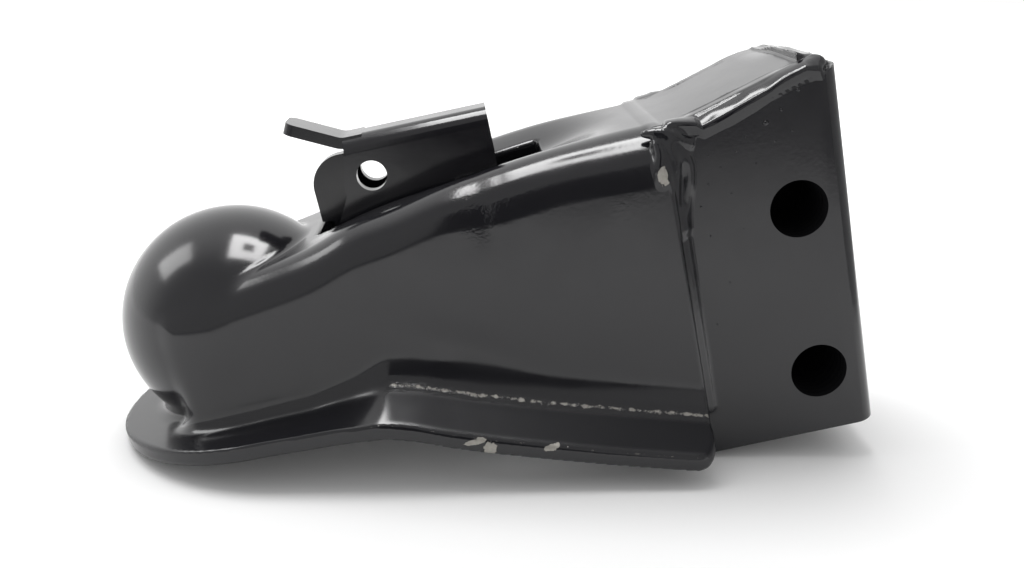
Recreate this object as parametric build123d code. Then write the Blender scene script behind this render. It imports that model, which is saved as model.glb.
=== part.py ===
from build123d import *
import math
import os

# A ball coupler head for a bolt-on trailer tongue, in millimetres.
# Frame: origin at the ball centre, +X towards the trailer, +Y to the right of travel, +Z up.

# Ball socket and shell pressing
ball_diameter = 58.74
ball_clearance = 0.53
wall = 4.76
bend_radius = 11.0
shell_rear_x = 135.5
valley_x = 34.0
valley_z = 22.8
rise_angle = 15.5
shell_top_z = 36.2
front_corner_x = -16.0
front_corner_round = 5.0

# Flange around the mouth
flange_top_z = -22.0
flange_reach = 14.84
flange_rear_setback = 1.0
flange_round_x = 7.5
flange_corner = 8.0
kink_x = 45.0
flare_run = 27.0
flare_angle = 26.2
rear_foot_z = -45.6
rear_flare_angle = 37.5
foot_fillet = 6.0
crease_fillet = 4.0
join_overlap = 2.0
crease_low_z = 5.0
crease_side = 1.0

# Slot for the lever
slot_front_x = 32.9
slot_rear_x = 102.8
slot_half_width = 11.0
slot_corner = 3.0

# Ramp tab at the shell's rear
ramp_setback = 6.5
ramp_angle = 15.5
ramp_half_width = 26.0
ramp_bend = 12.0

# Channel bracket
bracket_wall = 4.76
bracket_gap = 0.1
bracket_lap = 7.5
bracket_length = 58.1
bracket_bottom_z = -65.0
bracket_corner = 10.0
bolt_hole_diameter = 16.67
bolt_spacing = 50.8
bolt_setback = 15.7
upper_bolt_z = 5.4
sleeve_diameter = 21.3

# Welds
side_weld_leg = 4.4
side_weld_foot = 5.0
ramp_weld_height = 4.4
rear_weld_leg = 5.0

# Latch lever
lever_half_width = 8.77
lever_wall = 3.4
lever_top_z = 48.5
lever_bend = 5.0
lever_front_x = 46.0
lever_rear_x = 89.2
lever_bottom_z = 20.5
lever_waist_setback = 2.6
lever_waist_drop = 15.0
lever_notch_setback = 2.4
lever_notch_drop = 17.0
lever_toe_setback = 8.4
safety_hole_diameter = 9.0
safety_hole_x = 52.3
safety_hole_z = 36.2
tab_half_width = 6.5
tab_length = 17.0
tab_angle = 27.0
tab_corner = 3.0
tab_bend = 5.0
tab_root = 6.0

# Pivots and the clamp's drive
lever_pivot_x = 66.0
lever_pivot_z = 19.0
pivot_pin_diameter = 8.0
pivot_lobe = 8.0
lever_travel = 55.0
throw = 12.5
stem_pin_diameter = 7.0
stem_lobe = 7.0
running_fit = 0.05
side_gap = 0.4
lug_thickness = 5.0
lug_radius = 9.0
lug_spread = 4.0
fulcrum_x = 108.0
fulcrum_z = 6.0
fulcrum_diameter = 10.0

# Clamp, stem and what is on the stem
stem_diameter = 8.0
eye_diameter = 13.0
collar_diameter = 15.0
collar_thickness = 3.0
collar_top_z = 3.0
boss_z = -19.0
boss_radius = 6.5
seat_gap = 0.4
washer_diameter = 17.0
washer_thickness = 1.6
nut_across_flats = 13.0
nut_height = 6.5
stem_tail = 3.0
coil_sides = 6
spring_wire = 2.0
spring_turns = 3.0
spring_inset = 1.5
spring_end_gap = 0.2
jaw_thickness = 6.6
jaw_half_width = 20.0
jaw_top_z = -4.0
jaw_bottom_z = -25.0
jaw_front_x = 12.0
arm_thickness = 8.0
arm_bend = 6.0
arm_half_width = 13.0
arm_root_share = 1.2
stem_play = 0.7
stem_swing = 5.0
stem_swing_shift = 1.0
fulcrum_boss_radius = 9.5
fulcrum_boss_half_width = 18.0

# Trigger
trigger_thickness = 5.0
trigger_pin_diameter = 3.0
trigger_x = 47.6
trigger_z = 41.8
trigger_boss = 2.5
trigger_front_x = 33.5
trigger_top_z = 43.3
trigger_lobe = 9.5
trigger_hook_x = 33.8
trigger_hook_z = 14.0
trigger_bottom_z = 9.5
trigger_throat_x = 37.0
trigger_throat_z = 23.6
trigger_nose_step = 0.6
trigger_hook_bevel = 2.0
trigger_heel = 4.0
trigger_neck_setback = 2.2
trigger_neck_drop = 11.0
trigger_spring_wire = 0.8
trigger_spring_turns = 2.0
trigger_spring_gap = 0.3
trigger_spring_fit = 0.15

# Worked-out sizes
socket_radius = ball_diameter / 2 + ball_clearance
shell_half = socket_radius + wall
flange_half_width = shell_half + flange_reach
flange_rear_x = shell_rear_x - flange_rear_setback
flange_bottom_z = flange_top_z - wall
ramp_start_x = shell_rear_x + ramp_setback
bracket_half = socket_radius - bracket_gap
bracket_front_x = shell_rear_x - bracket_lap
bracket_rear_x = bracket_front_x + bracket_length
bolt_x = bracket_rear_x - bolt_setback
web_front_x = bracket_rear_x - bracket_wall
ramp_end_x = bracket_rear_x - rear_weld_leg
lever_inner_half = lever_half_width - lever_wall
stem_pin_x = lever_pivot_x + throw * math.cos(math.radians(lever_travel / 2))
stem_pin_z = lever_pivot_z + throw * math.sin(math.radians(lever_travel / 2))
lug_inner = lever_half_width + side_gap
lug_outer = lug_inner + lug_thickness
flare_x = kink_x + flare_run
flare_foot_z = flange_top_z + (rear_foot_z - flange_top_z) * flare_run / (flange_rear_x - kink_x)
flare_drop = flange_reach * math.tan(math.radians(flare_angle))
rear_drop = flange_reach * math.tan(math.radians(rear_flare_angle))
reach = 400.0


def along_y(sketch, half_width):
    """Extrude a sketch drawn in the XZ plane evenly to both sides."""
    return extrude(sketch, amount=half_width, both=True)


def side_face(*points):
    """A straight-edged face in the XZ plane from its corners."""
    return make_face(Plane.XZ * Polyline(*points, close=True))


def side_disc(x, z, radius, half_width):
    """A cylinder along Y at one place of the side view."""
    return Pos(x, 0, z) * Rot(90, 0, 0) * Cylinder(radius, 2 * half_width)


def channel_body(inset, foot):
    """The channel behind the dome, filled, its top rising in an arc and its long top edges bent round.

    The foot is the side view's lower edge, from the rear to the ball's centre.
    """
    half = shell_half - inset
    rise = math.tan(math.radians(rise_angle))
    front_z = valley_z - valley_x * rise - inset
    rear = (shell_rear_x + inset, shell_top_z - inset)
    valley = (valley_x, valley_z - inset)
    outline = Line((0, front_z), valley) + TangentArc(valley, rear, tangent=(1, rise))
    outline += Polyline(rear, *foot, (0, front_z))
    body = along_y(make_face(Plane.XZ * outline), half)
    top_edges = body.edges().filter_by(lambda edge: abs(abs(edge.center().Y) - half) < 0.01
                                       and edge.center().Z > 0 and edge.length > valley_x)
    return fillet(top_edges, bend_radius - inset)


def front_walls(inset, bottom_z):
    """The upright walls under the dome, round in plan and cut off ahead so that the dome tucks under."""
    walls = Pos(0, 0, bottom_z / 2) * Cylinder(shell_half - inset, -bottom_z)
    walls &= Pos(front_corner_x + inset + reach / 2, 0, 0) * Box(reach, reach, 4 * reach)
    return fillet(walls.edges().filter_by(Axis.Z).group_by(Axis.X)[0], front_corner_round)


def dome_crease(form):
    """The edges where the dome runs into the channel's top."""
    edges = []
    for edge in form.edges():
        on_dome = all(abs((edge @ share).length - shell_half) < 0.02 for share in (0.1, 0.5, 0.9))
        if on_dome and (edge @ 0.5).Z > crease_low_z and abs((edge @ 0.5).Y) > crease_side:
            edges.append(edge)
    return edges


def mouth_foot(form):
    """The edges at the foot of the front walls, where they turn out into the flange."""
    edges = []
    for edge in form.edges():
        points = [edge @ share for share in (0.0, 0.5, 1.0)]
        level = all(abs(point.Z - flange_top_z) < 0.01 for point in points)
        on_wall = all(abs(point.Y) < shell_half + 0.05 for point in points)
        if level and on_wall and front_corner_x + 0.5 < points[1].X < kink_x - 0.1:
            edges.append(edge)
    return edges


def flange_outline(bottom_z, height):
    """The mouth's plan outline, round at the front and with round rear corners, as an upright prism."""
    length = flange_rear_x - flange_round_x
    sides = Pos(flange_round_x + length / 2, 0) * Rectangle(length, 2 * flange_half_width)
    sides = fillet(sides.vertices().sort_by(Axis.X)[-2:], flange_corner)
    outline = sides + Pos(flange_round_x, 0) * Circle(flange_half_width)
    return Pos(0, 0, bottom_z) * extrude(outline, amount=height)


def flare_section(x, foot_z, drop):
    """Cross-section of the wall's foot and flange on the +Y side at one place along the shell."""
    angle = math.atan2(drop, flange_reach)
    top_z = foot_z + 2 * foot_fillet
    under_y = flange_half_width - wall * math.sin(angle)
    under_z = foot_z - drop - wall * math.cos(angle)
    inner_z = under_z + (under_y - socket_radius) * math.tan(angle)
    outer_foot = (shell_half, foot_z)
    inner_foot = (socket_radius, inner_z)
    face = make_face(Polyline((shell_half, top_z), outer_foot, (flange_half_width, foot_z - drop),
                              (under_y, under_z), inner_foot, (socket_radius, top_z), close=True))
    for corner, radius in ((outer_foot, foot_fillet), (inner_foot, foot_fillet + wall)):
        face = fillet(face.vertices().sort_by_distance(corner)[0], radius)
    return Plane((x, 0, 0), x_dir=(0, 1, 0), z_dir=(1, 0, 0)) * face


def shell_hollow():
    """The space inside the pressing, open below, with a round throat at the front lip."""
    throat = math.sqrt(socket_radius ** 2 - flange_top_z ** 2)
    hollow = Sphere(socket_radius) + channel_body(wall, [(shell_rear_x + wall, -reach), (0, -reach)])
    hollow += front_walls(wall, -reach)
    return hollow + Pos(0, 0, flange_top_z - reach / 2) * Cylinder(throat, reach)


def coupler_shell():
    """The one-piece pressing: dome, channel, arched flange, slot and ramp tab."""
    sunk_z = flange_top_z - wall / 2
    body = channel_body(0, [(shell_rear_x, rear_foot_z + join_overlap),
                            (kink_x, flange_top_z + join_overlap), (kink_x, sunk_z), (0, sunk_z)])
    ahead = Pos(kink_x - reach / 2, 0, 0) * Box(reach, reach, reach)
    behind = Pos(kink_x + reach / 2, 0, 0) * Box(reach, reach, reach)
    dome = Sphere(shell_half) & (Pos(0, 0, sunk_z + reach / 2) * Box(reach, reach, reach))
    front = dome + (body & ahead) + front_walls(0, sunk_z)
    front = fillet(dome_crease(front), crease_fillet)
    front += flange_outline(flange_bottom_z, wall) & ahead
    front = fillet(mouth_foot(front), foot_fillet)
    strips = []
    for side in (1, -1):
        strip = loft([flare_section(kink_x, flange_top_z, 0.0),
                      flare_section(flare_x, flare_foot_z, flare_drop),
                      flare_section(flange_rear_x, rear_foot_z, rear_drop)], ruled=True)
        strip = strip & flange_outline(-reach, 2 * reach)
        strips.append(strip if side == 1 else mirror(strip, Plane.XZ))
    shell = front + (body & behind) - shell_hollow()
    for strip in strips:
        shell += strip
    slot_length = slot_rear_x - slot_front_x
    slot = Rectangle(slot_length, 2 * slot_half_width)
    slot = fillet(slot.vertices(), slot_corner)
    shell -= Pos(slot_front_x + slot_length / 2, 0, 0) * extrude(slot, amount=reach)
    return shell + ramp_tab()


def ramp_top_z(x):
    """Height of the ramp's upper face at one place behind its bend."""
    return shell_top_z + (x - ramp_start_x) * math.tan(math.radians(ramp_angle))


def ramp_bend_x():
    """Where the ramp's lower face starts to rise."""
    return ramp_start_x + wall * math.tan(math.radians(ramp_angle / 2))


def ramp_seat_z(x):
    """Height of the bracket's top edge under the ramp at one place behind the shell."""
    tilt = math.radians(ramp_angle)
    level_z = shell_top_z - wall - bracket_gap
    return max(level_z, ramp_top_z(x) - wall / math.cos(tilt) - bracket_gap)


def ramp_tab():
    """The tab that the shell's top runs on into, bent up to lie on the bracket."""
    upright = wall / math.cos(math.radians(ramp_angle))
    root_x = shell_rear_x - join_overlap
    lower_z = shell_top_z - wall
    end_z = ramp_top_z(ramp_end_x)
    face = make_face(Polyline((root_x, shell_top_z), (ramp_start_x, shell_top_z), (ramp_end_x, end_z),
                              (ramp_end_x, end_z - upright), (ramp_bend_x(), lower_z), (root_x, lower_z),
                              close=True))
    face = fillet(face.vertices().sort_by_distance((ramp_start_x, shell_top_z))[0], ramp_bend)
    face = fillet(face.vertices().sort_by_distance((ramp_bend_x(), lower_z))[0], ramp_bend + wall)
    return along_y(Plane.XZ * face, ramp_half_width)


def bracket_space():
    """The upright space between the bracket's walls, open ahead of it."""
    inner = Rectangle(bracket_length, 2 * (bracket_half - bracket_wall))
    inner = Pos(web_front_x - bracket_length / 2, 0) * inner
    inner = fillet(inner.vertices().sort_by(Axis.X)[-2:], bracket_corner - bracket_wall)
    return extrude(inner, amount=reach, both=True)


def channel_bracket():
    """The folded U channel that bolts to the trailer, its top cut to carry the ramp."""
    outer = Pos(bracket_rear_x - bracket_length / 2, 0) * Rectangle(bracket_length, 2 * bracket_half)
    outer = fillet(outer.vertices().sort_by(Axis.X)[-2:], bracket_corner)
    height = ramp_top_z(bracket_rear_x) - bracket_bottom_z
    channel = Pos(0, 0, bracket_bottom_z) * extrude(outer, amount=height) - bracket_space()
    seat_z = ramp_seat_z(shell_rear_x)
    lap_x = shell_rear_x + bracket_gap
    lap_z = shell_top_z - bend_radius - bracket_gap
    ahead_x = bracket_front_x - join_overlap
    behind_x = bracket_rear_x + join_overlap
    top_cut = side_face((ahead_x, lap_z), (lap_x, lap_z), (lap_x, seat_z), (ramp_bend_x(), seat_z),
                        (behind_x, ramp_seat_z(behind_x)), (behind_x, reach), (ahead_x, reach))
    channel -= along_y(top_cut, reach)
    for z in (upper_bolt_z, upper_bolt_z - bolt_spacing):
        channel -= side_disc(bolt_x, z, bolt_hole_diameter / 2, reach)
    return channel


def bolt_sleeve(z):
    """The tube that keeps the bracket's walls apart round one bolt, its ends coped to the bend inside."""
    tube = side_disc(bolt_x, z, sleeve_diameter / 2, bracket_half) & bracket_space()
    return tube - side_disc(bolt_x, z, bolt_hole_diameter / 2, reach)


def side_weld(side):
    """Fillet weld from one rear edge of the shell onto the bracket's side."""
    corner = (shell_rear_x, bracket_half)
    face = make_face(Polyline(corner, (shell_rear_x + side_weld_foot, bracket_half),
                              (shell_rear_x, bracket_half + side_weld_leg), close=True))
    bottom_z = rear_foot_z + join_overlap
    weld = Pos(0, 0, bottom_z) * extrude(face, amount=ramp_seat_z(shell_rear_x) - bottom_z)
    return weld if side == 1 else mirror(weld, Plane.XZ)


def ramp_weld(side):
    """Fillet weld in the corner of the ramp's long edge and the bracket's side."""

    def section(x):
        seat_z = ramp_seat_z(x)
        return make_face(Polyline((x, ramp_half_width, seat_z), (x, bracket_half, seat_z),
                                  (x, ramp_half_width, seat_z + ramp_weld_height), close=True))

    bend_x = ramp_bend_x()
    weld = loft([section(shell_rear_x), section(bend_x)], ruled=True)
    weld += loft([section(bend_x), section(web_front_x)], ruled=True)
    return weld if side == 1 else mirror(weld, Plane.XZ)


def ramp_weld_rear():
    """Fillet weld from the ramp's rear end down onto the bracket's web."""
    face = side_face((ramp_end_x, ramp_top_z(ramp_end_x)), (bracket_rear_x, ramp_seat_z(bracket_rear_x)),
                     (ramp_end_x, ramp_seat_z(ramp_end_x)))
    return along_y(face, bracket_half - bracket_corner)


def latch_lever():
    """The folded lever: two side walls, a top and a finger tab bent up at the front."""
    walls = side_face((lever_front_x, lever_top_z), (lever_front_x, lever_top_z - lever_wall),
                      (lever_front_x - lever_waist_setback, lever_top_z - lever_waist_drop),
                      (lever_front_x - lever_notch_setback, lever_top_z - lever_notch_drop),
                      (lever_front_x - lever_toe_setback, lever_bottom_z),
                      (lever_pivot_x - pivot_lobe, lever_bottom_z),
                      (lever_pivot_x, lever_pivot_z), (stem_pin_x, stem_pin_z - stem_lobe),
                      (lever_rear_x, stem_pin_z + stem_lobe), (lever_rear_x, lever_top_z))
    lever = along_y(walls, lever_half_width)
    lever += side_disc(lever_pivot_x, lever_pivot_z, pivot_lobe, lever_half_width)
    lever += side_disc(stem_pin_x, stem_pin_z, stem_lobe, lever_half_width)
    long_edges = lever.edges().filter_by(Axis.X).group_by(Axis.Z)[-1]
    lever = fillet(long_edges, lever_bend)
    inside_top = lever_top_z - lever_wall
    inside = Pos(0, 0, inside_top / 2) * Box(reach, 2 * lever_inner_half, inside_top)
    inside = fillet(inside.edges().filter_by(Axis.X).group_by(Axis.Z)[-1], lever_bend - lever_wall)
    lever -= inside
    lever += finger_tab()
    lever -= side_disc(safety_hole_x, safety_hole_z, safety_hole_diameter / 2, reach)
    lever -= side_disc(lever_pivot_x, lever_pivot_z, pivot_pin_diameter / 2 + running_fit, reach)
    lever -= side_disc(stem_pin_x, stem_pin_z, stem_pin_diameter / 2, reach)
    lever -= side_disc(trigger_x, trigger_z, trigger_pin_diameter / 2, reach)
    return lever


def finger_tab():
    """The lever's top carried on forward and bent up for the thumb."""
    tilt = math.radians(tab_angle)
    tip = (lever_front_x - tab_length * math.cos(tilt), lever_top_z + tab_length * math.sin(tilt))
    across = (-lever_wall * math.sin(tilt), -lever_wall * math.cos(tilt))
    root_x = lever_front_x + tab_root
    inner_x = lever_front_x - lever_wall * math.tan(tilt / 2)
    under_z = lever_top_z - lever_wall
    face = make_face(Polyline((root_x, lever_top_z), (lever_front_x, lever_top_z), tip,
                              (tip[0] + across[0], tip[1] + across[1]), (inner_x, under_z),
                              (root_x, under_z), close=True))
    face = fillet(face.vertices().sort_by_distance((lever_front_x, lever_top_z))[0], tab_bend)
    face = fillet(face.vertices().sort_by_distance((inner_x, under_z))[0], tab_bend + lever_wall)
    tab = along_y(Plane.XZ * face, tab_half_width)
    corners = [edge for edge in tab.edges() if abs(edge.length - lever_wall) < 0.01
               and edge.center().X < tip[0] + lever_wall]
    return fillet(corners, tab_corner)


def hinge_lug(side):
    """One plate under the shell's top that carries the lever's pin, its top edge against the pressing."""
    half = lug_thickness / 2
    foot = lug_radius + lug_spread
    tall = side_face((lever_pivot_x - lug_radius, lever_pivot_z),
                     (lever_pivot_x + lug_radius, lever_pivot_z),
                     (lever_pivot_x + foot, reach), (lever_pivot_x - foot, reach))
    plate = along_y(tall, half) + side_disc(lever_pivot_x, lever_pivot_z, lug_radius, half)
    plate -= side_disc(lever_pivot_x, lever_pivot_z, pivot_pin_diameter / 2, reach)
    plate = Pos(0, side * (lug_inner + half), 0) * plate
    return plate & shell_hollow()


def ball_clamp():
    """The jaw that cups the ball from behind and below, on an arm that turns on the fulcrum bar."""
    jaw = Sphere(socket_radius + jaw_thickness) - Sphere(socket_radius)
    jaw_height = jaw_top_z - jaw_bottom_z
    jaw_block = Box(reach, 2 * jaw_half_width, jaw_height)
    jaw &= Pos(jaw_front_x + reach / 2, 0, jaw_bottom_z + jaw_height / 2) * jaw_block
    root_x = socket_radius
    half = arm_thickness / 2
    inner_bend = (fulcrum_x - half, boss_z + half)
    outer_bend = (fulcrum_x + half, boss_z - half)
    arm = make_face(Polyline((root_x, boss_z + arm_root_share * half), (root_x, boss_z - half), outer_bend,
                             (fulcrum_x + half, fulcrum_z), (fulcrum_x - half, fulcrum_z), inner_bend,
                             (stem_pin_x, boss_z + half), close=True))
    arm = fillet(arm.vertices().sort_by_distance(inner_bend)[0], arm_bend)
    arm = fillet(arm.vertices().sort_by_distance(outer_bend)[0], arm_bend + arm_thickness)
    clamp = jaw + (along_y(Plane.XZ * arm, arm_half_width) - Sphere(socket_radius))
    clamp += side_disc(stem_pin_x, boss_z, boss_radius, arm_half_width)
    clamp += side_disc(fulcrum_x, fulcrum_z, fulcrum_boss_radius, fulcrum_boss_half_width)
    clamp -= side_disc(fulcrum_x, fulcrum_z, fulcrum_diameter / 2 + running_fit, reach)
    slot_width = stem_diameter + 2 * stem_play
    slot = SlotOverall(slot_width + stem_swing, slot_width)
    clamp -= Pos(stem_pin_x + stem_swing_shift, 0, -reach / 2) * extrude(slot, amount=reach)
    return clamp


def clamp_stem():
    """The eye stem that hangs from the lever's cross pin."""
    tail_z = boss_z - boss_radius - seat_gap - washer_thickness - nut_height - stem_tail
    eye = side_disc(stem_pin_x, stem_pin_z, eye_diameter / 2, lever_inner_half - side_gap)
    length = stem_pin_z - tail_z
    shank = Pos(stem_pin_x, 0, tail_z + length / 2) * Cylinder(stem_diameter / 2, length)
    collar = Cylinder(collar_diameter / 2, collar_thickness)
    collar = Pos(stem_pin_x, 0, collar_top_z - collar_thickness / 2) * collar
    pin_hole = side_disc(stem_pin_x, stem_pin_z, stem_pin_diameter / 2 + running_fit, reach)
    return eye + shank + collar - pin_hole


def stem_ring(bottom_z, height, sketch):
    """A piece threaded or slipped on the stem, from its plan outline."""
    ring = extrude(sketch - Circle(stem_diameter / 2 + running_fit), amount=height)
    return Pos(stem_pin_x, 0, bottom_z) * ring


def coil(radius, wire, turns, height):
    """A coil about Z that starts at Z = 0 on its wire's centre line, its wire drawn with few sides."""
    path = Helix(pitch=height / turns, height=height, radius=radius)
    start = Plane(origin=path @ 0, z_dir=path % 0)
    return sweep(start * RegularPolygon(wire / 2, coil_sides), path=path, is_frenet=True)


def clamp_spring():
    """The coil between the stem's collar and the washer on the clamp."""
    bottom_z = boss_z + boss_radius + seat_gap + washer_thickness
    height = collar_top_z - collar_thickness - bottom_z
    radius = (washer_diameter - spring_wire) / 2 - spring_inset
    spring = coil(radius, spring_wire, spring_turns, height - spring_wire - 2 * spring_end_gap)
    return Pos(stem_pin_x, 0, bottom_z + spring_wire / 2 + spring_end_gap) * spring


def trigger():
    """The lobed catch plate under the finger tab, with a hook for the slot's front edge."""
    outline = Polyline((trigger_x, trigger_top_z), (trigger_front_x, trigger_top_z),
                       (trigger_front_x, trigger_throat_z + trigger_nose_step),
                       (trigger_throat_x, trigger_throat_z),
                       (trigger_throat_x, trigger_hook_z), (trigger_hook_x, trigger_hook_z),
                       (trigger_hook_x, trigger_bottom_z + trigger_hook_bevel),
                       (trigger_hook_x + trigger_hook_bevel, trigger_bottom_z),
                       (trigger_throat_x + trigger_heel, trigger_bottom_z),
                       (trigger_x - trigger_neck_setback, trigger_z - trigger_neck_drop),
                       (trigger_x, trigger_z - trigger_boss), close=True)
    face = make_face(outline)
    lobe = face.vertices().sort_by(lambda v: v.X - v.Y)[0]
    face = fillet(lobe, trigger_lobe)
    plate = along_y(Plane.XZ * face, trigger_thickness / 2)
    plate += side_disc(trigger_x, trigger_z, trigger_boss, trigger_thickness / 2)
    return plate - side_disc(trigger_x, trigger_z, trigger_pin_diameter / 2 + running_fit, reach)


def trigger_spring():
    """The small coil beside the trigger on its pin."""
    space = lever_inner_half - trigger_thickness / 2
    height = space - trigger_spring_wire - 2 * trigger_spring_gap
    radius = trigger_pin_diameter / 2 + trigger_spring_wire / 2 + trigger_spring_fit
    spring = coil(radius, trigger_spring_wire, trigger_spring_turns, height)
    start_y = -(trigger_thickness / 2 + trigger_spring_gap + trigger_spring_wire / 2)
    return Pos(trigger_x, start_y, trigger_z) * Rot(90, 0, 0) * spring


nut_outline = RegularPolygon(nut_across_flats / 2, 6, major_radius=False)
washer_outline = Circle(washer_diameter / 2)
boss_top_z = boss_z + boss_radius + seat_gap
boss_bottom_z = boss_z - boss_radius - seat_gap

pieces = {
    "coupler_shell": coupler_shell(),
    "channel_bracket": channel_bracket(),
    "bolt_sleeve_upper": bolt_sleeve(upper_bolt_z),
    "bolt_sleeve_lower": bolt_sleeve(upper_bolt_z - bolt_spacing),
    "side_weld_left": side_weld(-1),
    "side_weld_right": side_weld(1),
    "ramp_weld_left": ramp_weld(-1),
    "ramp_weld_right": ramp_weld(1),
    "ramp_weld_rear": ramp_weld_rear(),
    "latch_lever": latch_lever(),
    "lever_pivot_pin": side_disc(lever_pivot_x, lever_pivot_z, pivot_pin_diameter / 2, lug_outer),
    "stem_pin": side_disc(stem_pin_x, stem_pin_z, stem_pin_diameter / 2, lever_half_width),
    "hinge_lug_left": hinge_lug(-1),
    "hinge_lug_right": hinge_lug(1),
    "fulcrum_bar": side_disc(fulcrum_x, fulcrum_z, fulcrum_diameter / 2, socket_radius - bracket_gap),
    "ball_clamp": ball_clamp(),
    "clamp_stem": clamp_stem(),
    "clamp_spring": clamp_spring(),
    "spring_washer": stem_ring(boss_top_z, washer_thickness, washer_outline),
    "seat_washer": stem_ring(boss_bottom_z - washer_thickness, washer_thickness, washer_outline),
    "adjusting_nut": stem_ring(boss_bottom_z - washer_thickness - nut_height, nut_height, nut_outline),
    "trigger": trigger(),
    "trigger_pin": side_disc(trigger_x, trigger_z, trigger_pin_diameter / 2, lever_half_width),
    "trigger_spring": trigger_spring(),
}

os.makedirs("parts", exist_ok=True)
for name, piece in pieces.items():
    export_step(piece, f"parts/{name}.step")
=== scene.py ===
"""A trailer coupling head in glossy black enamel, lying nose down in a white light tent."""
import functools
import itertools
import logging
import math
from dataclasses import dataclass, field
from enum import Enum
from typing import Callable, Sequence

import bmesh
import bpy
import numpy as np
from mathutils import Matrix, Vector


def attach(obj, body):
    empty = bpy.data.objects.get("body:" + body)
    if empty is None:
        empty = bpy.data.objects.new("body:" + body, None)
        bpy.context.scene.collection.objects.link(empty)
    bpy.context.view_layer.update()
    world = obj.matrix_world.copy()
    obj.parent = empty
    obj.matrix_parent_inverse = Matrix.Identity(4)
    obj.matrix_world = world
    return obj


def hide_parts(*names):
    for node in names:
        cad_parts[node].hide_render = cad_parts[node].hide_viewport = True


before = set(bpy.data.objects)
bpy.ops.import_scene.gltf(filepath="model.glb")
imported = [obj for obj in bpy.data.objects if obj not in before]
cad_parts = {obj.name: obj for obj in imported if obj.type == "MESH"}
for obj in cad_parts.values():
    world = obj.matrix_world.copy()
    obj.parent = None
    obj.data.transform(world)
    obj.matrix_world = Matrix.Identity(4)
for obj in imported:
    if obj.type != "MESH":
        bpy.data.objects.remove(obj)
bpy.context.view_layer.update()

log = logging.getLogger("coupling_head")

MILLIMETRE = 0.001
LINE_SPAN = (-80.0, 220.0)
LINE_STEP = 0.25
LINE_ROUNDS = 3
SMALL = 1e-9
COIL_STEPS = 40
WIRE_SIDES = 14
DROP_STRETCH = (0.75, 1.25)
ORIGIN = (0.0, 0.0, 0.0)
FLOAT = "NodeSocketFloat"
VECTOR = "NodeSocketVector"
Pair = tuple[float, float]
Point = tuple[float, float, float]
Knot = tuple[float, float, float, float]
Field = Callable[[np.ndarray], np.ndarray]


class Body(Enum):
    """The rigid bodies that new pieces ride on."""

    HEAD = "head"
    LEVER = "lever"
    STEM = "stem"
    TRIGGER = "trigger"


class Slot(Enum):
    """The record's material slots."""

    ENAMEL = "black_enamel"
    PLATED = "plated_steel"


class Side(Enum):
    """The two sides of travel, by the sign of Y."""

    LEFT = -1
    RIGHT = 1


# Fields and surfaces

def smooth_min(first: np.ndarray, second: np.ndarray, size: float | np.ndarray) -> np.ndarray:
    """Join two distance fields with a round in the corner between them.

    Args:
        first: Distances to one form.
        second: Distances to the other form.
        size: Width of the round, one for all places or one for each.

    Returns:
        Distances to both forms together.
    """
    near = np.maximum(size - np.abs(first - second), 0.0) / size
    return np.minimum(first, second) - near * near * size * 0.25


def smooth_max(first: np.ndarray, second: np.ndarray, size: float) -> np.ndarray:
    """Keep what two distance fields share, with the edge between them rounded.

    Args:
        first: Distances to one form.
        second: Distances to the other form.
        size: Width of the round.

    Returns:
        Distances to the part that both forms hold.
    """
    return -smooth_min(-first, -second, size)


def soft_ramp(value: np.ndarray, width: float) -> np.ndarray:
    """A ramp that is zero below zero and turns up gently over a width."""
    return width * np.logaddexp(0.0, value / width)


def smooth_step(low: float, high: float, value: np.ndarray) -> np.ndarray:
    """A smooth rise from 0 at low to 1 at high."""
    share = np.clip((value - low) / (high - low), 0.0, 1.0)
    return share * share * (3.0 - 2.0 * share)


def hump(value: np.ndarray, width: float) -> np.ndarray:
    """A smooth hump that is 1 at zero and fades over a width."""
    return np.exp(-(value / width) ** 2)


def arch(value: np.ndarray, half: float) -> np.ndarray:
    """A round arch that is 1 at zero and 0 from a half width on."""
    return np.clip(1.0 - (value / half) ** 2, 0.0, 1.0)


def sloping_face(out: np.ndarray, up: np.ndarray, fall: np.ndarray, width: float) -> np.ndarray:
    """Distance to a face that falls by some height over a width, from a place out and up from its start."""
    return (out * fall + up * width) / np.hypot(fall, width)


@functools.lru_cache(maxsize=None)
def smooth_line(knots: tuple[Pair, ...], width: float) -> tuple[np.ndarray, np.ndarray]:
    """A table of a line through knots, with its corners eased over a width.

    Args:
        knots: Place and value of each knot.
        width: How far the easing reaches.

    Returns:
        Places and values.
    """
    places = np.arange(*LINE_SPAN, LINE_STEP)
    values = np.interp(places, *zip(*knots))
    count = int(width / LINE_STEP) | 1
    for _ in range(LINE_ROUNDS):
        values = np.convolve(np.pad(values, count // 2, mode="edge"), np.ones(count) / count, mode="valid")
    return places, values


def rounded_box(x: np.ndarray, y: np.ndarray, half_x: float, half_y: float, corner: float) -> np.ndarray:
    """Distance in the plane to a rectangle with round corners.

    Args:
        x: Distances along the first side from the middle.
        y: Distances along the second side from the middle.
        half_x: Half of the first side.
        half_y: Half of the second side.
        corner: Radius of the corners.

    Returns:
        Distances to the rectangle.
    """
    over_x = np.abs(x) - half_x + corner
    over_y = np.abs(y) - half_y + corner
    outside = np.hypot(np.maximum(over_x, 0.0), np.maximum(over_y, 0.0))
    return outside + np.minimum(np.maximum(over_x, over_y), 0.0) - corner


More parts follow.
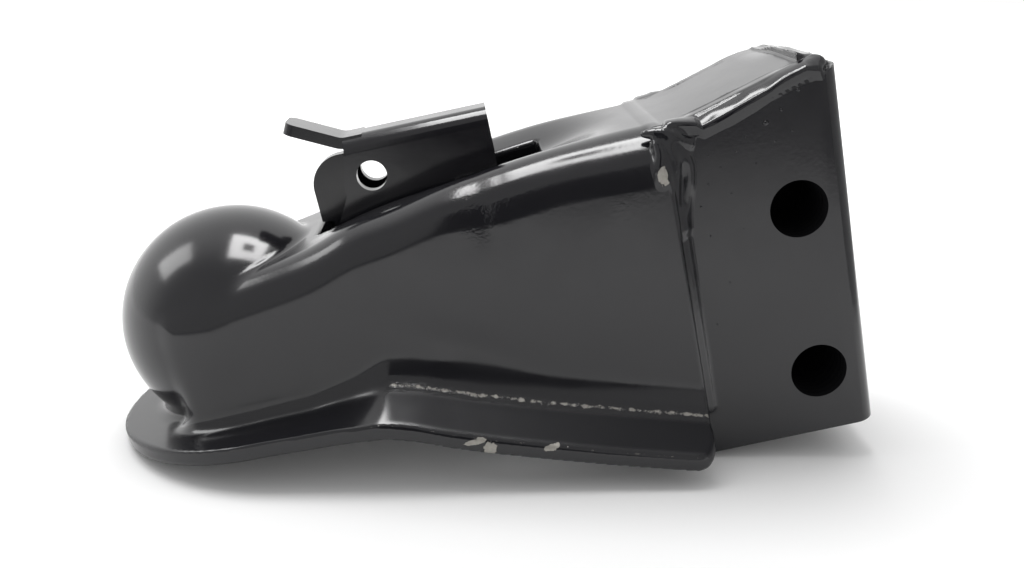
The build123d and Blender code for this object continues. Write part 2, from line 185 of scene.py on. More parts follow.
def smooth_path(knots: Sequence[Knot], steps: int = 4) -> np.ndarray:
    """A smooth path through some knots.

    Args:
        knots: Place and radius of each knot.
        steps: Runs between two knots.

    Returns:
        Place and radius along the path, one row each.
    """
    data = np.array(knots)
    data = np.vstack([2.0 * data[0] - data[1], data, 2.0 * data[-1] - data[-2]])
    rows = []
    for before, first, second, after in zip(data, data[1:], data[2:], data[3:]):
        for t in np.arange(steps) / steps:
            rows.append(first + 0.5 * t * (second - before + t * (
                2.0 * before - 5.0 * first + 4.0 * second - after
                + t * (3.0 * (first - second) + after - before))))
    return np.vstack(rows + [data[-2]])


def tube(points: np.ndarray, knots: Sequence[Knot], margin: float = 9.0) -> np.ndarray:
    """Distance to a round bead through some knots.

    Args:
        points: Places in millimetres.
        knots: Place and radius of each knot.
        margin: How far from the bead distances are worked out.

    Returns:
        Distances to the bead.
    """
    path = smooth_path(knots)
    low = path[:, :3].min(axis=0) - margin
    high = path[:, :3].max(axis=0) + margin
    inside = np.all((points > low) & (points < high), axis=1)
    near = points[inside]
    best = np.full(len(near), 2.0 * margin)
    for first, second in zip(path, path[1:]):
        way = second[:3] - first[:3]
        share = np.clip(((near - first[:3]) @ way) / (way @ way), 0.0, 1.0)
        away = np.linalg.norm(near - first[:3] - share[:, None] * way, axis=1)
        best = np.minimum(best, away - first[3] - share * (second[3] - first[3]))
    result = np.full(len(points), 2.0 * margin)
    result[inside] = best
    return result


class Lumps:
    """Smooth lattice noise in space, the same on every run."""

    CELLS = 24

    def __init__(self, seed: int) -> None:
        """Fill the lattice."""
        self.lattice = np.random.default_rng(seed).uniform(-1.0, 1.0, (self.CELLS,) * 3)

    def sample(self, points: np.ndarray, size: float) -> np.ndarray:
        """Read the noise.

        Args:
            points: Places in millimetres.
            size: The lattice's spacing.

        Returns:
            Values from -1 to 1.
        """
        base = np.floor(points / size).astype(np.int64)
        share = smooth_step(0.0, 1.0, points / size - base)
        total = np.zeros(len(points))
        for corner in itertools.product((0, 1), repeat=3):
            weight = np.ones(len(points))
            for axis, far in enumerate(corner):
                weight = weight * (share[:, axis] if far else 1.0 - share[:, axis])
            spot = (base + np.array(corner)) % self.CELLS
            total += weight * self.lattice[spot[:, 0], spot[:, 1], spot[:, 2]]
        return total


@dataclass(frozen=True)
class SurfaceNet:
    """Turns a distance field in millimetres into a quad mesh whose points lie on the surface."""

    low: Point
    high: Point
    step: float
    rounds: int = 4
    probe: float = 0.05
    least_slope: float = 0.2
    longest_move: float = 0.6

    def sample(self, distance: Field) -> tuple[np.ndarray, np.ndarray]:
        """Read the field on a grid.

        Args:
            distance: The field.

        Returns:
            The grid's lowest corner and the values on the grid.
        """
        counts = [int(math.ceil((b - a) / self.step)) + 1 for a, b in zip(self.low, self.high)]
        axes = [a + self.step * np.arange(n) for a, n in zip(self.low, counts)]
        grid = np.stack(np.meshgrid(*axes, indexing="ij"), axis=-1).reshape(-1, 3)
        return np.array(self.low), distance(grid).reshape(counts)

    def corners(self, values: np.ndarray) -> tuple[np.ndarray, np.ndarray]:
        """Place one point in each cell that the surface crosses.

        Args:
            values: The field on the grid.

        Returns:
            The points in cells, and each cell's point number or -1.
        """
        shape = tuple(n - 1 for n in values.shape)
        total = np.zeros(shape + (3,))
        count = np.zeros(shape)
        for axis in range(3):
            others = [other for other in range(3) if other != axis]
            for shift_a in (0, 1):
                for shift_b in (0, 1):
                    start = [0, 0, 0]
                    start[others[0]] = shift_a
                    start[others[1]] = shift_b
                    end = list(start)
                    end[axis] = 1
                    one = values[tuple(slice(s, s + n) for s, n in zip(start, shape))]
                    two = values[tuple(slice(s, s + n) for s, n in zip(end, shape))]
                    crossed = (one < 0.0) != (two < 0.0)
                    share = np.where(crossed, one / np.where(crossed, one - two, 1.0), 0.0)
                    for other, shift in zip(others, (shift_a, shift_b)):
                        total[..., other] += crossed * shift
                    total[..., axis] += share
                    count += crossed
        active = count > 0
        numbers = np.full(shape, -1, dtype=np.int64)
        numbers[active] = np.arange(int(active.sum()))
        cells = np.argwhere(active)
        return cells + total[active] / count[active][:, None], numbers

    def quads(self, values: np.ndarray, numbers: np.ndarray) -> np.ndarray:
        """Join the points of the four cells round each crossed grid edge.

        Args:
            values: The field on the grid.
            numbers: Each cell's point number.

        Returns:
            Four point numbers for each face, turned outwards.
        """
        inside = values < 0.0
        faces = []
        for axis in range(3):
            second, third = (axis + 1) % 3, (axis + 2) % 3
            near = np.take(inside, range(inside.shape[axis] - 1), axis=axis)
            far = np.take(inside, range(1, inside.shape[axis]), axis=axis)
            spots = np.argwhere(near != far)
            for other in (second, third):
                spots = spots[(spots[:, other] > 0) & (spots[:, other] < inside.shape[other] - 1)]
            ring = []
            for back_b, back_c in ((1, 1), (0, 1), (0, 0), (1, 0)):
                cell = spots.copy()
                cell[:, second] -= back_b
                cell[:, third] -= back_c
                ring.append(numbers[cell[:, 0], cell[:, 1], cell[:, 2]])
            quad = np.stack(ring, axis=1)
            leaving = near[spots[:, 0], spots[:, 1], spots[:, 2]]
            faces.append(np.where(leaving[:, None], quad, quad[:, ::-1]))
        return np.concatenate(faces)

    def slopes(self, distance: Field, points: np.ndarray) -> np.ndarray:
        """The field's gradient at some points.

        Args:
            distance: The field.
            points: Where to read it.

        Returns:
            One vector for each point.
        """
        columns = []
        for axis in range(3):
            shift = np.zeros(3)
            shift[axis] = self.probe
            columns.append((distance(points + shift) - distance(points - shift)) / (2.0 * self.probe))
        return np.stack(columns, axis=1)

    def mesh(self, name: str, distance: Field) -> bpy.types.Mesh:
        """Make the mesh, in metres.

        Args:
            name: The mesh's name.
            distance: The field in millimetres.

        Returns:
            A closed mesh with normals read from the field.
        """
        low, values = self.sample(distance)
        cells, numbers = self.corners(values)
        faces = self.quads(values, numbers)
        points = low + cells * self.step
        for _ in range(self.rounds):
            slope = self.slopes(distance, points)
            length = np.maximum((slope * slope).sum(axis=1), self.least_slope)
            move = slope * (distance(points) / length)[:, None]
            reach = np.linalg.norm(move, axis=1)
            share = np.minimum(1.0, self.longest_move * self.step / np.maximum(reach, SMALL))
            points -= move * share[:, None]
        slope = self.slopes(distance, points)
        normals = slope / np.maximum(np.linalg.norm(slope, axis=1), SMALL)[:, None]
        return mesh_from_arrays(name, points * MILLIMETRE, faces, normals)


def mesh_from_arrays(name: str, points: np.ndarray, faces: np.ndarray, normals: np.ndarray) -> bpy.types.Mesh:
    """Make a smooth mesh from arrays.

    Args:
        name: The mesh's name.
        points: Places in metres.
        faces: Four point numbers for each face.
        normals: One normal for each point.

    Returns:
        The mesh.
    """
    mesh = bpy.data.meshes.new(name)
    mesh.vertices.add(len(points))
    mesh.vertices.foreach_set("co", points.astype(np.float32).ravel())
    mesh.loops.add(faces.size)
    mesh.loops.foreach_set("vertex_index", faces.astype(np.int32).ravel())
    mesh.polygons.add(len(faces))
    mesh.polygons.foreach_set("loop_start", np.arange(0, faces.size, 4, dtype=np.int32))
    mesh.polygons.foreach_set("use_smooth", np.ones(len(faces), dtype=bool))
    mesh.update(calc_edges=True)
    mesh.validate()
    mesh.normals_split_custom_set_from_vertices(normals.astype(np.float32).tolist())
    return mesh


def add_object(name: str, data: bpy.types.ID) -> bpy.types.Object:
    """Put new data into the scene as an object."""
    thing = bpy.data.objects.new(name, data)
    bpy.context.scene.collection.objects.link(thing)
    return thing


def modified_mesh(piece: bpy.types.Object) -> bpy.types.Mesh:
    """Read an object's mesh as its modifiers leave it, and delete the object.

    Args:
        piece: The object.

    Returns:
        A plain mesh.
    """
    bpy.context.view_layer.update()
    done = piece.evaluated_get(bpy.context.evaluated_depsgraph_get())
    result = bpy.data.meshes.new_from_object(done)
    bpy.data.objects.remove(piece)
    return result


def place(name: str, mesh: bpy.types.Mesh, finish: bpy.types.Material, body: Body,
          nodes: Sequence[str] = ()) -> bpy.types.Object:
    """Put a finished mesh into the scene on its body.

    Args:
        name: The piece's name.
        mesh: Its mesh, in the part's frame.
        finish: Its material.
        body: The body that it moves with.
        nodes: The solids that it stands for.

    Returns:
        The new object.
    """
    piece = add_object(name, mesh)
    if not mesh.materials:
        mesh.materials.append(finish)
    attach(piece, body.value)
    if nodes:
        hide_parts(*nodes)
    log.info("%s: %d faces on %s", name, len(mesh.polygons), body.value)
    return piece


# Finishes

class NodeBench:
    """Short calls for making nodes in one tree, laid out in rows."""

    PER_ROW = 9
    ACROSS = 180.0
    DOWN = 220.0

    def __init__(self, tree: bpy.types.NodeTree) -> None:
        """Keep the tree and count the nodes for their places."""
        self.tree = tree
        self.count = 0

    def add(self, kind: str, **values: object) -> bpy.types.Node:
        """Add a node and set its properties.

        Args:
            kind: The node's type.
            values: Properties by name.

        Returns:
            The node.
        """
        node = self.tree.nodes.new(kind)
        row, column = divmod(self.count, self.PER_ROW)
        node.location = (self.ACROSS * column, -self.DOWN * row)
        self.count += 1
        for name, value in values.items():
            setattr(node, name, value)
        return node

    def link(self, source: bpy.types.NodeSocket, target: bpy.types.NodeSocket) -> None:
        """Join two sockets."""
        self.tree.links.new(source, target)

    def feed(self, target: bpy.types.NodeSocket, value: object) -> None:
        """Link a socket, or set a plain value on it.

        Args:
            target: The input.
            value: A socket or a value.
        """
        if isinstance(value, bpy.types.NodeSocket):
            self.link(value, target)
        else:
            target.default_value = value

    def math(self, operation: str, *values: object) -> bpy.types.NodeSocket:
        """A math node.

        Args:
            operation: The operation's name.
            values: Sockets or numbers.

        Returns:
            The result.
        """
        node = self.add("ShaderNodeMath", operation=operation)
        for socket, value in zip(node.inputs, values):
            self.feed(socket, value)
        return node.outputs[0]

    def vector(self, operation: str, *values: object) -> bpy.types.Node:
        """A vector math node, returned whole."""
        node = self.add("ShaderNodeVectorMath", operation=operation)
        for socket, value in zip(node.inputs, values):
            self.feed(socket, value)
        return node

    def noise(self, vector: object, scale: object, detail: float,
              roughness: float = 0.5) -> bpy.types.NodeSocket:
        """A noise texture's value.

        Args:
            vector: Where to read it.
            scale: Its scale.
            detail: Its octaves.
            roughness: How strong the finer octaves are.

        Returns:
            The value from 0 to 1.
        """
        node = self.add("ShaderNodeTexNoise")
        self.feed(node.inputs["Vector"], vector)
        self.feed(node.inputs["Scale"], scale)
        node.inputs["Detail"].default_value = detail
        node.inputs["Roughness"].default_value = roughness
        return node.outputs["Fac"]

    def span(self, value: object, low: object, high: object, to_low: float,
             to_high: float) -> bpy.types.NodeSocket:
        """A smooth map from one span to another.

        Args:
            value: The value to map.
            low: Where the span starts.
            high: Where it ends.
            to_low: The result at the start.
            to_high: The result at the end.

        Returns:
            The mapped value.
        """
        node = self.add("ShaderNodeMapRange", interpolation_type="SMOOTHSTEP")
        for name, part in (("Value", value), ("From Min", low), ("From Max", high),
                           ("To Min", to_low), ("To Max", to_high)):
            self.feed(node.inputs[name], part)
        return node.outputs["Result"]

    def mix(self, factor: bpy.types.NodeSocket, first: object, second: object) -> bpy.types.NodeSocket:
        """A mix of two colours.

        Args:
            factor: The second one's share.
            first: A socket or a colour.
            second: A socket or a colour.

        Returns:
            The mixed colour.
        """
        node = self.add("ShaderNodeMix", data_type="RGBA")
        self.link(factor, node.inputs["Factor"])
        self.feed(node.inputs["A"], first)
        self.feed(node.inputs["B"], second)
        return node.outputs["Result"]

    def grey(self, value: bpy.types.NodeSocket) -> bpy.types.NodeSocket:
        """A grey of some brightness."""
        node = self.add("ShaderNodeCombineColor")
        for name in ("Red", "Green", "Blue"):
            self.link(value, node.inputs[name])
        return node.outputs["Color"]

    def group(self, tree: bpy.types.NodeTree, **values: object) -> bpy.types.Node:
        """A shader group with its inputs set, underscores standing for spaces."""
        node = self.add("ShaderNodeGroup", node_tree=tree)
        for name, value in values.items():
            self.feed(node.inputs[name.replace("_", " ").title()], value)
        return node


def new_group(name: str, inputs: Sequence[tuple[str, str, object]], outputs: Sequence[str]) -> NodeBench:
    """Start a shader group with its sockets.

    Args:
        name: The group's name.
        inputs: Name, socket type and default of each input.
        outputs: Names of the float outputs.

    Returns:
        A bench on the new group.
    """
    tree = bpy.data.node_groups.new(name, "ShaderNodeTree")
    for label, kind, default in inputs:
        socket = tree.interface.new_socket(label, in_out="INPUT", socket_type=kind)
        socket.default_value = default
    for label in outputs:
        tree.interface.new_socket(label, in_out="OUTPUT", socket_type="NodeSocketFloat")
    return NodeBench(tree)


@dataclass(frozen=True)
class Chip:
    """A place where the enamel is knocked off: its middle and its half sizes, in millimetres."""

    middle: Point
    reach: Point


@dataclass(frozen=True)
class Enamel:
    """Black enamel over steel, with its chips."""

    name: str
    colour: Point = (0.0100, 0.0099, 0.0120)
    steel: Point = (0.46, 0.44, 0.40)
    peel: float = 0.35
    waves: float = 0.6
    gloss_low: float = 0.13
    gloss_high: float = 0.20
    grooves: float = 0.0
    shine: float = 0.5
    index: float = 1.52
    depth: float = 0.00005
    worn_and_highlit: bool = False
    speckle: float = 2.2
    dull_rough: float = 0.25
    dull_shine: float = 0.3
    chips: tuple[Chip, ...] = ()
    chip_depth: float = 3.0
    bare_rough: float = 0.3
    bare_metal: float = 0.5
    bare_dark: float = 0.25
    bare_light: float = 1.15
    bare_grain: float = 900.0


@dataclass(frozen=True)
class BareMetal:
    """A metal without paint, with a speckled surface."""

    name: str
    light: Point
    dark: Point
    metallic: float
    roughness: float
    grain: float
    depth: float
    spread: float = 0.1


class FinishShop:
    """Makes the shared shader groups once, and materials from them."""

    def __init__(self) -> None:
        """Build the groups."""
        self.peel = self.peel_group()
        self.chip = self.chip_group()
        self.grain = self.grain_group()

    def peel_group(self) -> bpy.types.NodeTree:
        """Height of sprayed enamel: fine orange peel, stronger in patches, over slow waves.

        Returns:
            The group.
        """
        bench = new_group("enamel_peel", (("Vector", VECTOR, ORIGIN), ("Peel", FLOAT, 0.4),
                                          ("Waves", FLOAT, 0.6)), ("Height", "Patch"))
        start = bench.add("NodeGroupInput")
        end = bench.add("NodeGroupOutput")
        fine = bench.noise(start.outputs["Vector"], scale=820.0, detail=1.0)
        slow = bench.noise(start.outputs["Vector"], scale=95.0, detail=1.0)
        patch = bench.noise(start.outputs["Vector"], scale=38.0, detail=2.0)
        patch = bench.span(patch, low=0.40, high=0.68, to_low=0.25, to_high=1.0)
        fine = bench.math("MULTIPLY", bench.math("MULTIPLY", fine, patch), start.outputs["Peel"])
        slow = bench.math("MULTIPLY", slow, start.outputs["Waves"])
        bench.link(bench.math("ADD", fine, slow), end.inputs["Height"])
        bench.link(patch, end.inputs["Patch"])
        return bench.tree

    def chip_group(self) -> bpy.types.NodeTree:
        """Mask of one ragged chip.

        Returns:
            The group.
        """
        bench = new_group("enamel_chip", (("Vector", VECTOR, ORIGIN), ("Middle", VECTOR, ORIGIN),
                                          ("Reach", VECTOR, (1.0, 1.0, 1.0))), ("Mask",))
        start = bench.add("NodeGroupInput")
        end = bench.add("NodeGroupOutput")
        away = bench.vector("SUBTRACT", start.outputs["Vector"], start.outputs["Middle"]).outputs[0]
        away = bench.vector("DIVIDE", away, start.outputs["Reach"]).outputs[0]
        far = bench.vector("LENGTH", away).outputs["Value"]
        ragged = bench.noise(start.outputs["Vector"], scale=620.0, detail=3.0, roughness=0.6)
        far = bench.math("ADD", far, bench.math("MULTIPLY", bench.math("SUBTRACT", ragged, 0.5), 1.5))
        bench.link(bench.span(far, low=0.86, high=1.0, to_low=1.0, to_high=0.0), end.inputs["Mask"])
        return bench.tree

    def grain_group(self) -> bpy.types.NodeTree:
        """Speckle and height of bare metal.

        Returns:
            The group.
        """
        bench = new_group("metal_grain", (("Vector", VECTOR, ORIGIN), ("Grain", FLOAT, 400.0)),
                          ("Speckle", "Height"))
        start = bench.add("NodeGroupInput")
        end = bench.add("NodeGroupOutput")
        fine = bench.noise(start.outputs["Vector"], start.outputs["Grain"], detail=3.0, roughness=0.6)
        coarse = bench.math("MULTIPLY", start.outputs["Grain"], 0.13)
        broad = bench.noise(start.outputs["Vector"], coarse, detail=2.0)
        bench.link(bench.math("ADD", bench.math("MULTIPLY", fine, 0.5), bench.math("MULTIPLY", broad, 0.5)),
                   end.inputs["Speckle"])
        bench.link(fine, end.inputs["Height"])
        return bench.tree

    def start(self, name: str) -> tuple[bpy.types.Material, NodeBench, bpy.types.Node, bpy.types.NodeSocket]:
        """A new material with its shader and Object coordinates.

        Args:
            name: The material's name.

        Returns:
            The material, a bench on its nodes, the shader and the coordinates.
        """
        material = bpy.data.materials.new(name)
        material.use_nodes = True
        bench = NodeBench(material.node_tree)
        shader = material.node_tree.nodes["Principled BSDF"]
        place_node = bench.add("ShaderNodeTexCoord")
        return material, bench, shader, place_node.outputs["Object"]

    def enamel(self, finish: Enamel) -> bpy.types.Material:
        """Glossy black enamel.

        Args:
            finish: Its values.

        Returns:
            The material.
        """
        material, bench, shader, vector = self.start(finish.name)
        peel = bench.group(self.peel, vector=vector, peel=finish.peel, waves=finish.waves)
        gloss = bench.noise(vector, scale=60.0, detail=3.0)
        gloss = bench.span(gloss, low=0.3, high=0.7, to_low=finish.gloss_low, to_high=finish.gloss_high)
        height = peel.outputs["Height"]
        shader.inputs["IOR"].default_value = finish.index
        shader.inputs["Specular IOR Level"].default_value = finish.shine
        if finish.worn_and_highlit:
            rough = bench.math("SUBTRACT", bench.noise(vector, scale=1150.0, detail=2.0), 0.5)
            place_of = bench.add("ShaderNodeAttribute", attribute_name="speckle").outputs["Fac"]
            rough = bench.math("MULTIPLY", bench.math("MULTIPLY", rough, place_of), finish.speckle)
            height = bench.math("ADD", height, rough)
            dull = bench.add("ShaderNodeAttribute", attribute_name="dull").outputs["Fac"]
            gloss = bench.math("ADD", gloss, bench.math("MULTIPLY", dull, finish.dull_rough))
            shine = bench.span(dull, 0.0, 1.0, finish.shine, finish.dull_shine * finish.shine)
            bench.link(shine, shader.inputs["Specular IOR Level"])
        if finish.grooves:
            height = bench.math("ADD", height, self.grooves(bench, vector, finish.grooves))
        if finish.chips or finish.worn_and_highlit:
            mask = self.wear_and_highlight(bench, vector) if finish.worn_and_highlit else None
            for chip in finish.chips:
                part = bench.group(self.chip, vector=vector, middle=[v * MILLIMETRE for v in chip.middle],
                                   reach=[v * MILLIMETRE for v in chip.reach]).outputs["Mask"]
                mask = part if mask is None else bench.math("MAXIMUM", mask, part)
            grain = bench.group(self.grain, vector=vector, grain=finish.bare_grain)
            dark, light = (tuple(share * v for v in finish.steel) + (1.0,)
                           for share in (finish.bare_dark, finish.bare_light))
            # Bare steel where the enamel is chipped or rubbed; the same steel colour also paints the
            # highlight along the flange's foot.
            steel = bench.mix(grain.outputs["Speckle"], dark, light)
            bench.link(bench.mix(mask, finish.colour + (1.0,), steel), shader.inputs["Base Color"])
            bench.link(bench.math("MULTIPLY", mask, finish.bare_metal), shader.inputs["Metallic"])
            gloss = bench.math("ADD", gloss, bench.math("MULTIPLY", mask, finish.bare_rough))
            height = bench.math("SUBTRACT", height, bench.math("MULTIPLY", mask, finish.chip_depth))
        else:
            shader.inputs["Base Color"].default_value = finish.colour + (1.0,)
        bench.link(gloss, shader.inputs["Roughness"])
        self.relief(bench, shader, height, finish.depth)
        return material

    def relief(self, bench: NodeBench, shader: bpy.types.Node, height: bpy.types.NodeSocket,
               depth: float) -> None:
        """Turn a height into the shader's bump.

        Args:
            bench: A bench on the material.
            shader: The material's shader.
            height: The height.
            depth: How deep a height of 1 is, in metres.
        """
        bump = bench.add("ShaderNodeBump")
        bump.inputs["Strength"].default_value = 1.0
        bump.inputs["Distance"].default_value = depth
        bench.link(height, bump.inputs["Height"])
        bench.link(bump.outputs["Normal"], shader.inputs["Normal"])

    def grooves(self, bench: NodeBench, vector: bpy.types.NodeSocket, depth: float) -> bpy.types.NodeSocket:
        """Tool grooves round a bore that runs across the part.

        Args:
            bench: A bench on the material.
            vector: Object coordinates.
            depth: The grooves' height.

        Returns:
            The height.
        """
        wave = bench.add("ShaderNodeTexWave", bands_direction="Y")
        bench.link(vector, wave.inputs["Vector"])
        for name, value in (("Scale", 120.0), ("Distortion", 2.0), ("Detail", 1.0)):
            wave.inputs[name].default_value = value
        return bench.math("MULTIPLY", wave.outputs["Fac"], depth)

    def wear_and_highlight(self, bench: NodeBench, vector: bpy.types.NodeSocket) -> bpy.types.NodeSocket:
        """Mask of rubbed edges and of the painted highlight along the flange's foot, from the mesh's own
        values broken up by noise.

        Args:
            bench: A bench on the material.
            vector: Object coordinates.

        Returns:
            The mask.
        """
        edge = bench.add("ShaderNodeAttribute", attribute_name="rub_and_highlight")
        broken = bench.noise(vector, scale=420.0, detail=4.0, roughness=0.65)
        level = bench.math("MULTIPLY", edge.outputs["Fac"], bench.math("MULTIPLY", broken, 2.0))
        return bench.span(level, low=0.72, high=1.0, to_low=0.0, to_high=0.8)

    def bare(self, finish: BareMetal) -> bpy.types.Material:
        """A bare or plated metal.

        Args:
            finish: Its values.

        Returns:
            The material.
        """
        material, bench, shader, vector = self.start(finish.name)
        grain = bench.group(self.grain, vector=vector, grain=finish.grain)
        colour = bench.mix(grain.outputs["Speckle"], finish.dark + (1.0,), finish.light + (1.0,))
        bench.link(colour, shader.inputs["Base Color"])
        shader.inputs["Metallic"].default_value = finish.metallic
        rough = bench.span(grain.outputs["Speckle"], low=0.3, high=0.7,
                           to_low=finish.roughness - finish.spread, to_high=finish.roughness + finish.spread)
        bench.link(rough, shader.inputs["Roughness"])
        self.relief(bench, shader, grain.outputs["Height"], finish.depth)
        return material


# The pressing

@dataclass(frozen=True)
class Spot:
    """A soft spot on a wall: its middle and reach along X and Z, in millimetres, and its level."""

    x: float
    z: float
    reach_x: float
    reach_z: float
    level: float = 1.0

    def at(self, x: np.ndarray, z: np.ndarray) -> np.ndarray:
        """The spot's level at some places."""
        return self.level * np.exp(-((x - self.x) / self.reach_x) ** 2 - ((z - self.z) / self.reach_z) ** 2)


@dataclass(frozen=True)
class CouplerShell:
    """The one-piece pressing: dome, channel, arched flange, slot and ramp. Sizes in millimetres."""

    socket_radius: float = 29.9
    wall: float = 4.76
    bend_radius: float = 11.0
    rear_bend: float = 15.0
    rear_x: float = 135.5
    valley_x: float = 34.0
    valley_z: float = 22.8
    rise: float = math.tan(math.radians(15.5))
    front_ease: float = 0.5
    ease_width: float = 4.0
    top_z: float = 36.2
    shoulder: float = 1.2
    shoulder_x: float = 44.0
    shoulder_length: float = 8.5
    shoulder_span: Pair = (12.0, 22.0)
    dish_middle: float = 6.0
    dish_edge: float = 1.55
    dish_width: float = 17.0
    dish_rise: Pair = (44.0, 88.0)
    dish_fall: Pair = (100.0, 130.0)
    bend_span: Pair = (66.0, 90.0)
    front_corner_x: float = -16.0
    front_round: float = 6.0
    crease: float = 1.7
    inner_crease: float = 1.5
    flange_z: float = -22.0
    flange_half: float = 49.5
    flange_round_x: float = 7.5
    flange_rear_x: float = 134.5
    flange_corner: float = 8.0
    foot_line: tuple[Pair, ...] = (
        (-60.0, -22.2), (4.0, -22.4), (23.3, -21.5), (36.0, -18.9), (45.5, -15.7), (53.0, -17.3),
        (62.0, -20.8), (71.0, -24.3), (92.0, -31.8), (113.4, -38.8), (134.5, -45.4), (150.0, -50.2))
    rim_line: tuple[Pair, ...] = (
        (-60.0, -22.4), (8.0, -22.5), (28.9, -23.5), (43.0, -25.0), (51.6, -27.9), (61.5, -32.4),
        (72.2, -36.5), (86.6, -41.6), (103.8, -47.5), (121.1, -53.0), (134.5, -57.2), (150.0, -62.0))
    face_share: float = 0.96
    ridge: float = 0.3
    ridge_span: Pair = (44.0, 47.0)
    ridge_out: float = 4.0
    ridge_width: float = 1.5
    rim_edge: float = 0.8
    low_edge: float = 1.7
    rim_height: float = 5.1
    line_ease: float = 2.5
    foot_round: float = 5.5
    slot_low_x: float = 32.9
    slot_high_x: float = 102.8
    slot_half: float = 11.0
    slot_corner: float = 1.5
    slot_floor_z: float = 8.0
    ramp_start_x: float = 142.0
    ramp_end_x: float = 181.1
    ramp_half: float = 26.0
    ramp_ease: float = 2.6
    ramp_overlap: float = 3.0
    ramp_drop: float = 1.8
    drop_along: Pair = (168.0, 182.0)
    drop_across: Pair = (-4.0, 20.0)
    throat_rise: float = 2.0
    mouth_edge: float = 2.0
    edge: float = 1.3
    dent_start: Pair = (70.0, -12.5)
    dent_fall: float = 0.48
    long_dent: Spot = Spot(71.0, 0.0, 14.0, 5.2, 0.6)
    press_mark: Spot = Spot(82.0, 25.0, 3.5, 9.0, 0.3)

    @property
    def half(self) -> float:
        """Half of the channel's outer width."""
        return self.socket_radius + self.wall

    def top(self, x: np.ndarray, y: np.ndarray) -> tuple[np.ndarray, np.ndarray]:
        """The channel's top and its slope along X.

        Args:
            x: Places along the channel.
            y: Places across it, without sign.

        Returns:
            Heights and slopes.
        """
        tilt = math.atan(self.rise)
        chord = math.atan2(self.top_z - self.valley_z, self.rear_x - self.valley_x)
        reach = math.hypot(self.top_z - self.valley_z, self.rear_x - self.valley_x)
        radius = reach / 2.0 / math.sin(tilt - chord)
        centre_x = self.valley_x + radius * math.sin(tilt)
        centre_z = self.valley_z - radius * math.cos(tilt)
        drop = np.sqrt(np.maximum(radius ** 2 - (x - centre_x) ** 2, 1.0))
        ahead = soft_ramp(self.valley_x - self.ease_width - x, self.ease_width)
        line = self.valley_z + (x - self.valley_x) * self.rise
        height = np.where(x < self.valley_x, line, centre_z + drop) + ahead * self.front_ease * self.rise
        slope = np.where(x < self.valley_x, self.rise, (centre_x - x) / drop)
        window = smooth_step(*self.dish_rise, x) * (1.0 - smooth_step(*self.dish_fall, x))
        dish = self.dish_edge - self.dish_middle * hump(y, self.dish_width)
        shoulder = self.shoulder * hump(x - self.shoulder_x, self.shoulder_length)
        shoulder = shoulder * smooth_step(*self.shoulder_span, y)
        return height + window * dish + shoulder, slope

    def ramp_top(self, x: np.ndarray) -> np.ndarray:
        """The ramp's upper face along X."""
        return self.top_z + soft_ramp(x - self.ramp_start_x, self.ramp_ease) * self.rise

    def dents(self, points: np.ndarray) -> np.ndarray:
        """How far the near wall is pushed in by handling and pressing.

        Args:
            points: Places in millimetres.

        Returns:
            Depths.
        """
        x, y, z = points[:, 0], points[:, 1], points[:, 2]
        start_x, start_z = self.dent_start
        line = z - start_z + self.dent_fall * (x - start_x)
        return np.where(y < 0.0, self.long_dent.at(x, line) + self.press_mark.at(x, z), 0.0)

    def body(self, x: np.ndarray, y: np.ndarray, z: np.ndarray, inset: float) -> np.ndarray:
        """Dome and channel, filled, with no lower end.

        Args:
            x: Places along the part.
            y: Places across it, without sign.
            z: Heights.
            inset: How far inside the outer face.

        Returns:
            Distances.
        """
        half = self.half - inset
        more = (self.rear_bend - self.bend_radius) * smooth_step(*self.bend_span, x)
        bend = self.bend_radius + more - inset
        dome = np.sqrt(x * x + y * y + z * z) - half
        height, slope = self.top(x, y)
        side = np.where(x < 0.0, np.hypot(x, y), y)
        over_y = side - half + bend
        over_z = (z - height + inset) / np.sqrt(1.0 + slope * slope) + bend
        channel = np.hypot(np.maximum(over_y, 0.0), np.maximum(over_z, 0.0))
        channel = channel + np.minimum(np.maximum(over_y, over_z), 0.0) - bend
        channel = smooth_max(channel, self.front_corner_x + inset - x, self.front_round)
        return smooth_min(dome, channel, self.crease if inset == 0.0 else self.inner_crease)

    def flange_top(self, x: np.ndarray, y: np.ndarray) -> tuple[np.ndarray, np.ndarray, np.ndarray]:
        """The flange's upper face.

        Args:
            x: Places along the part.
            y: Places across it, without sign.

        Returns:
            The foot's height, the face's height and its slope outwards.
        """
        foot = np.interp(x, *smooth_line(self.foot_line, self.line_ease))
        rim = np.interp(x, *smooth_line(self.rim_line, self.line_ease))
        width = self.flange_half - self.half
        out = np.maximum(y - self.half, 0.0) / width
        face = foot - (foot - rim) * (self.face_share * out + (1.0 - self.face_share) * out * out)
        steepness = self.face_share + 2.0 * (1.0 - self.face_share) * np.minimum(out, 1.0)
        slope = (foot - rim) / width * steepness
        ridge = self.ridge * smooth_step(*self.ridge_span, x)
        ridge = ridge * hump(y - self.half - self.ridge_out, self.ridge_width)
        return foot, face + ridge, slope

    def flange(self, x: np.ndarray, y: np.ndarray, z: np.ndarray) -> np.ndarray:
        """The turned-out flange, filled across the mouth.

        Args:
            x: Places along the part.
            y: Places across it, without sign.
            z: Heights.

        Returns:
            Distances.
        """
        _, face, slope = self.flange_top(x, y)
        cosine = 1.0 / np.sqrt(1.0 + slope * slope)
        above = (z - face) * cosine
        below = (face - self.rim_height - z) * cosine
        nose = np.hypot(x - self.flange_round_x, y) - self.flange_half
        length = self.flange_rear_x - self.flange_round_x
        sides = rounded_box(x - self.flange_round_x, y, length, self.flange_half, self.flange_corner)
        plan = np.where(x < self.flange_round_x, nose, sides)
        return smooth_max(smooth_max(above, plan, self.rim_edge), below, self.low_edge)

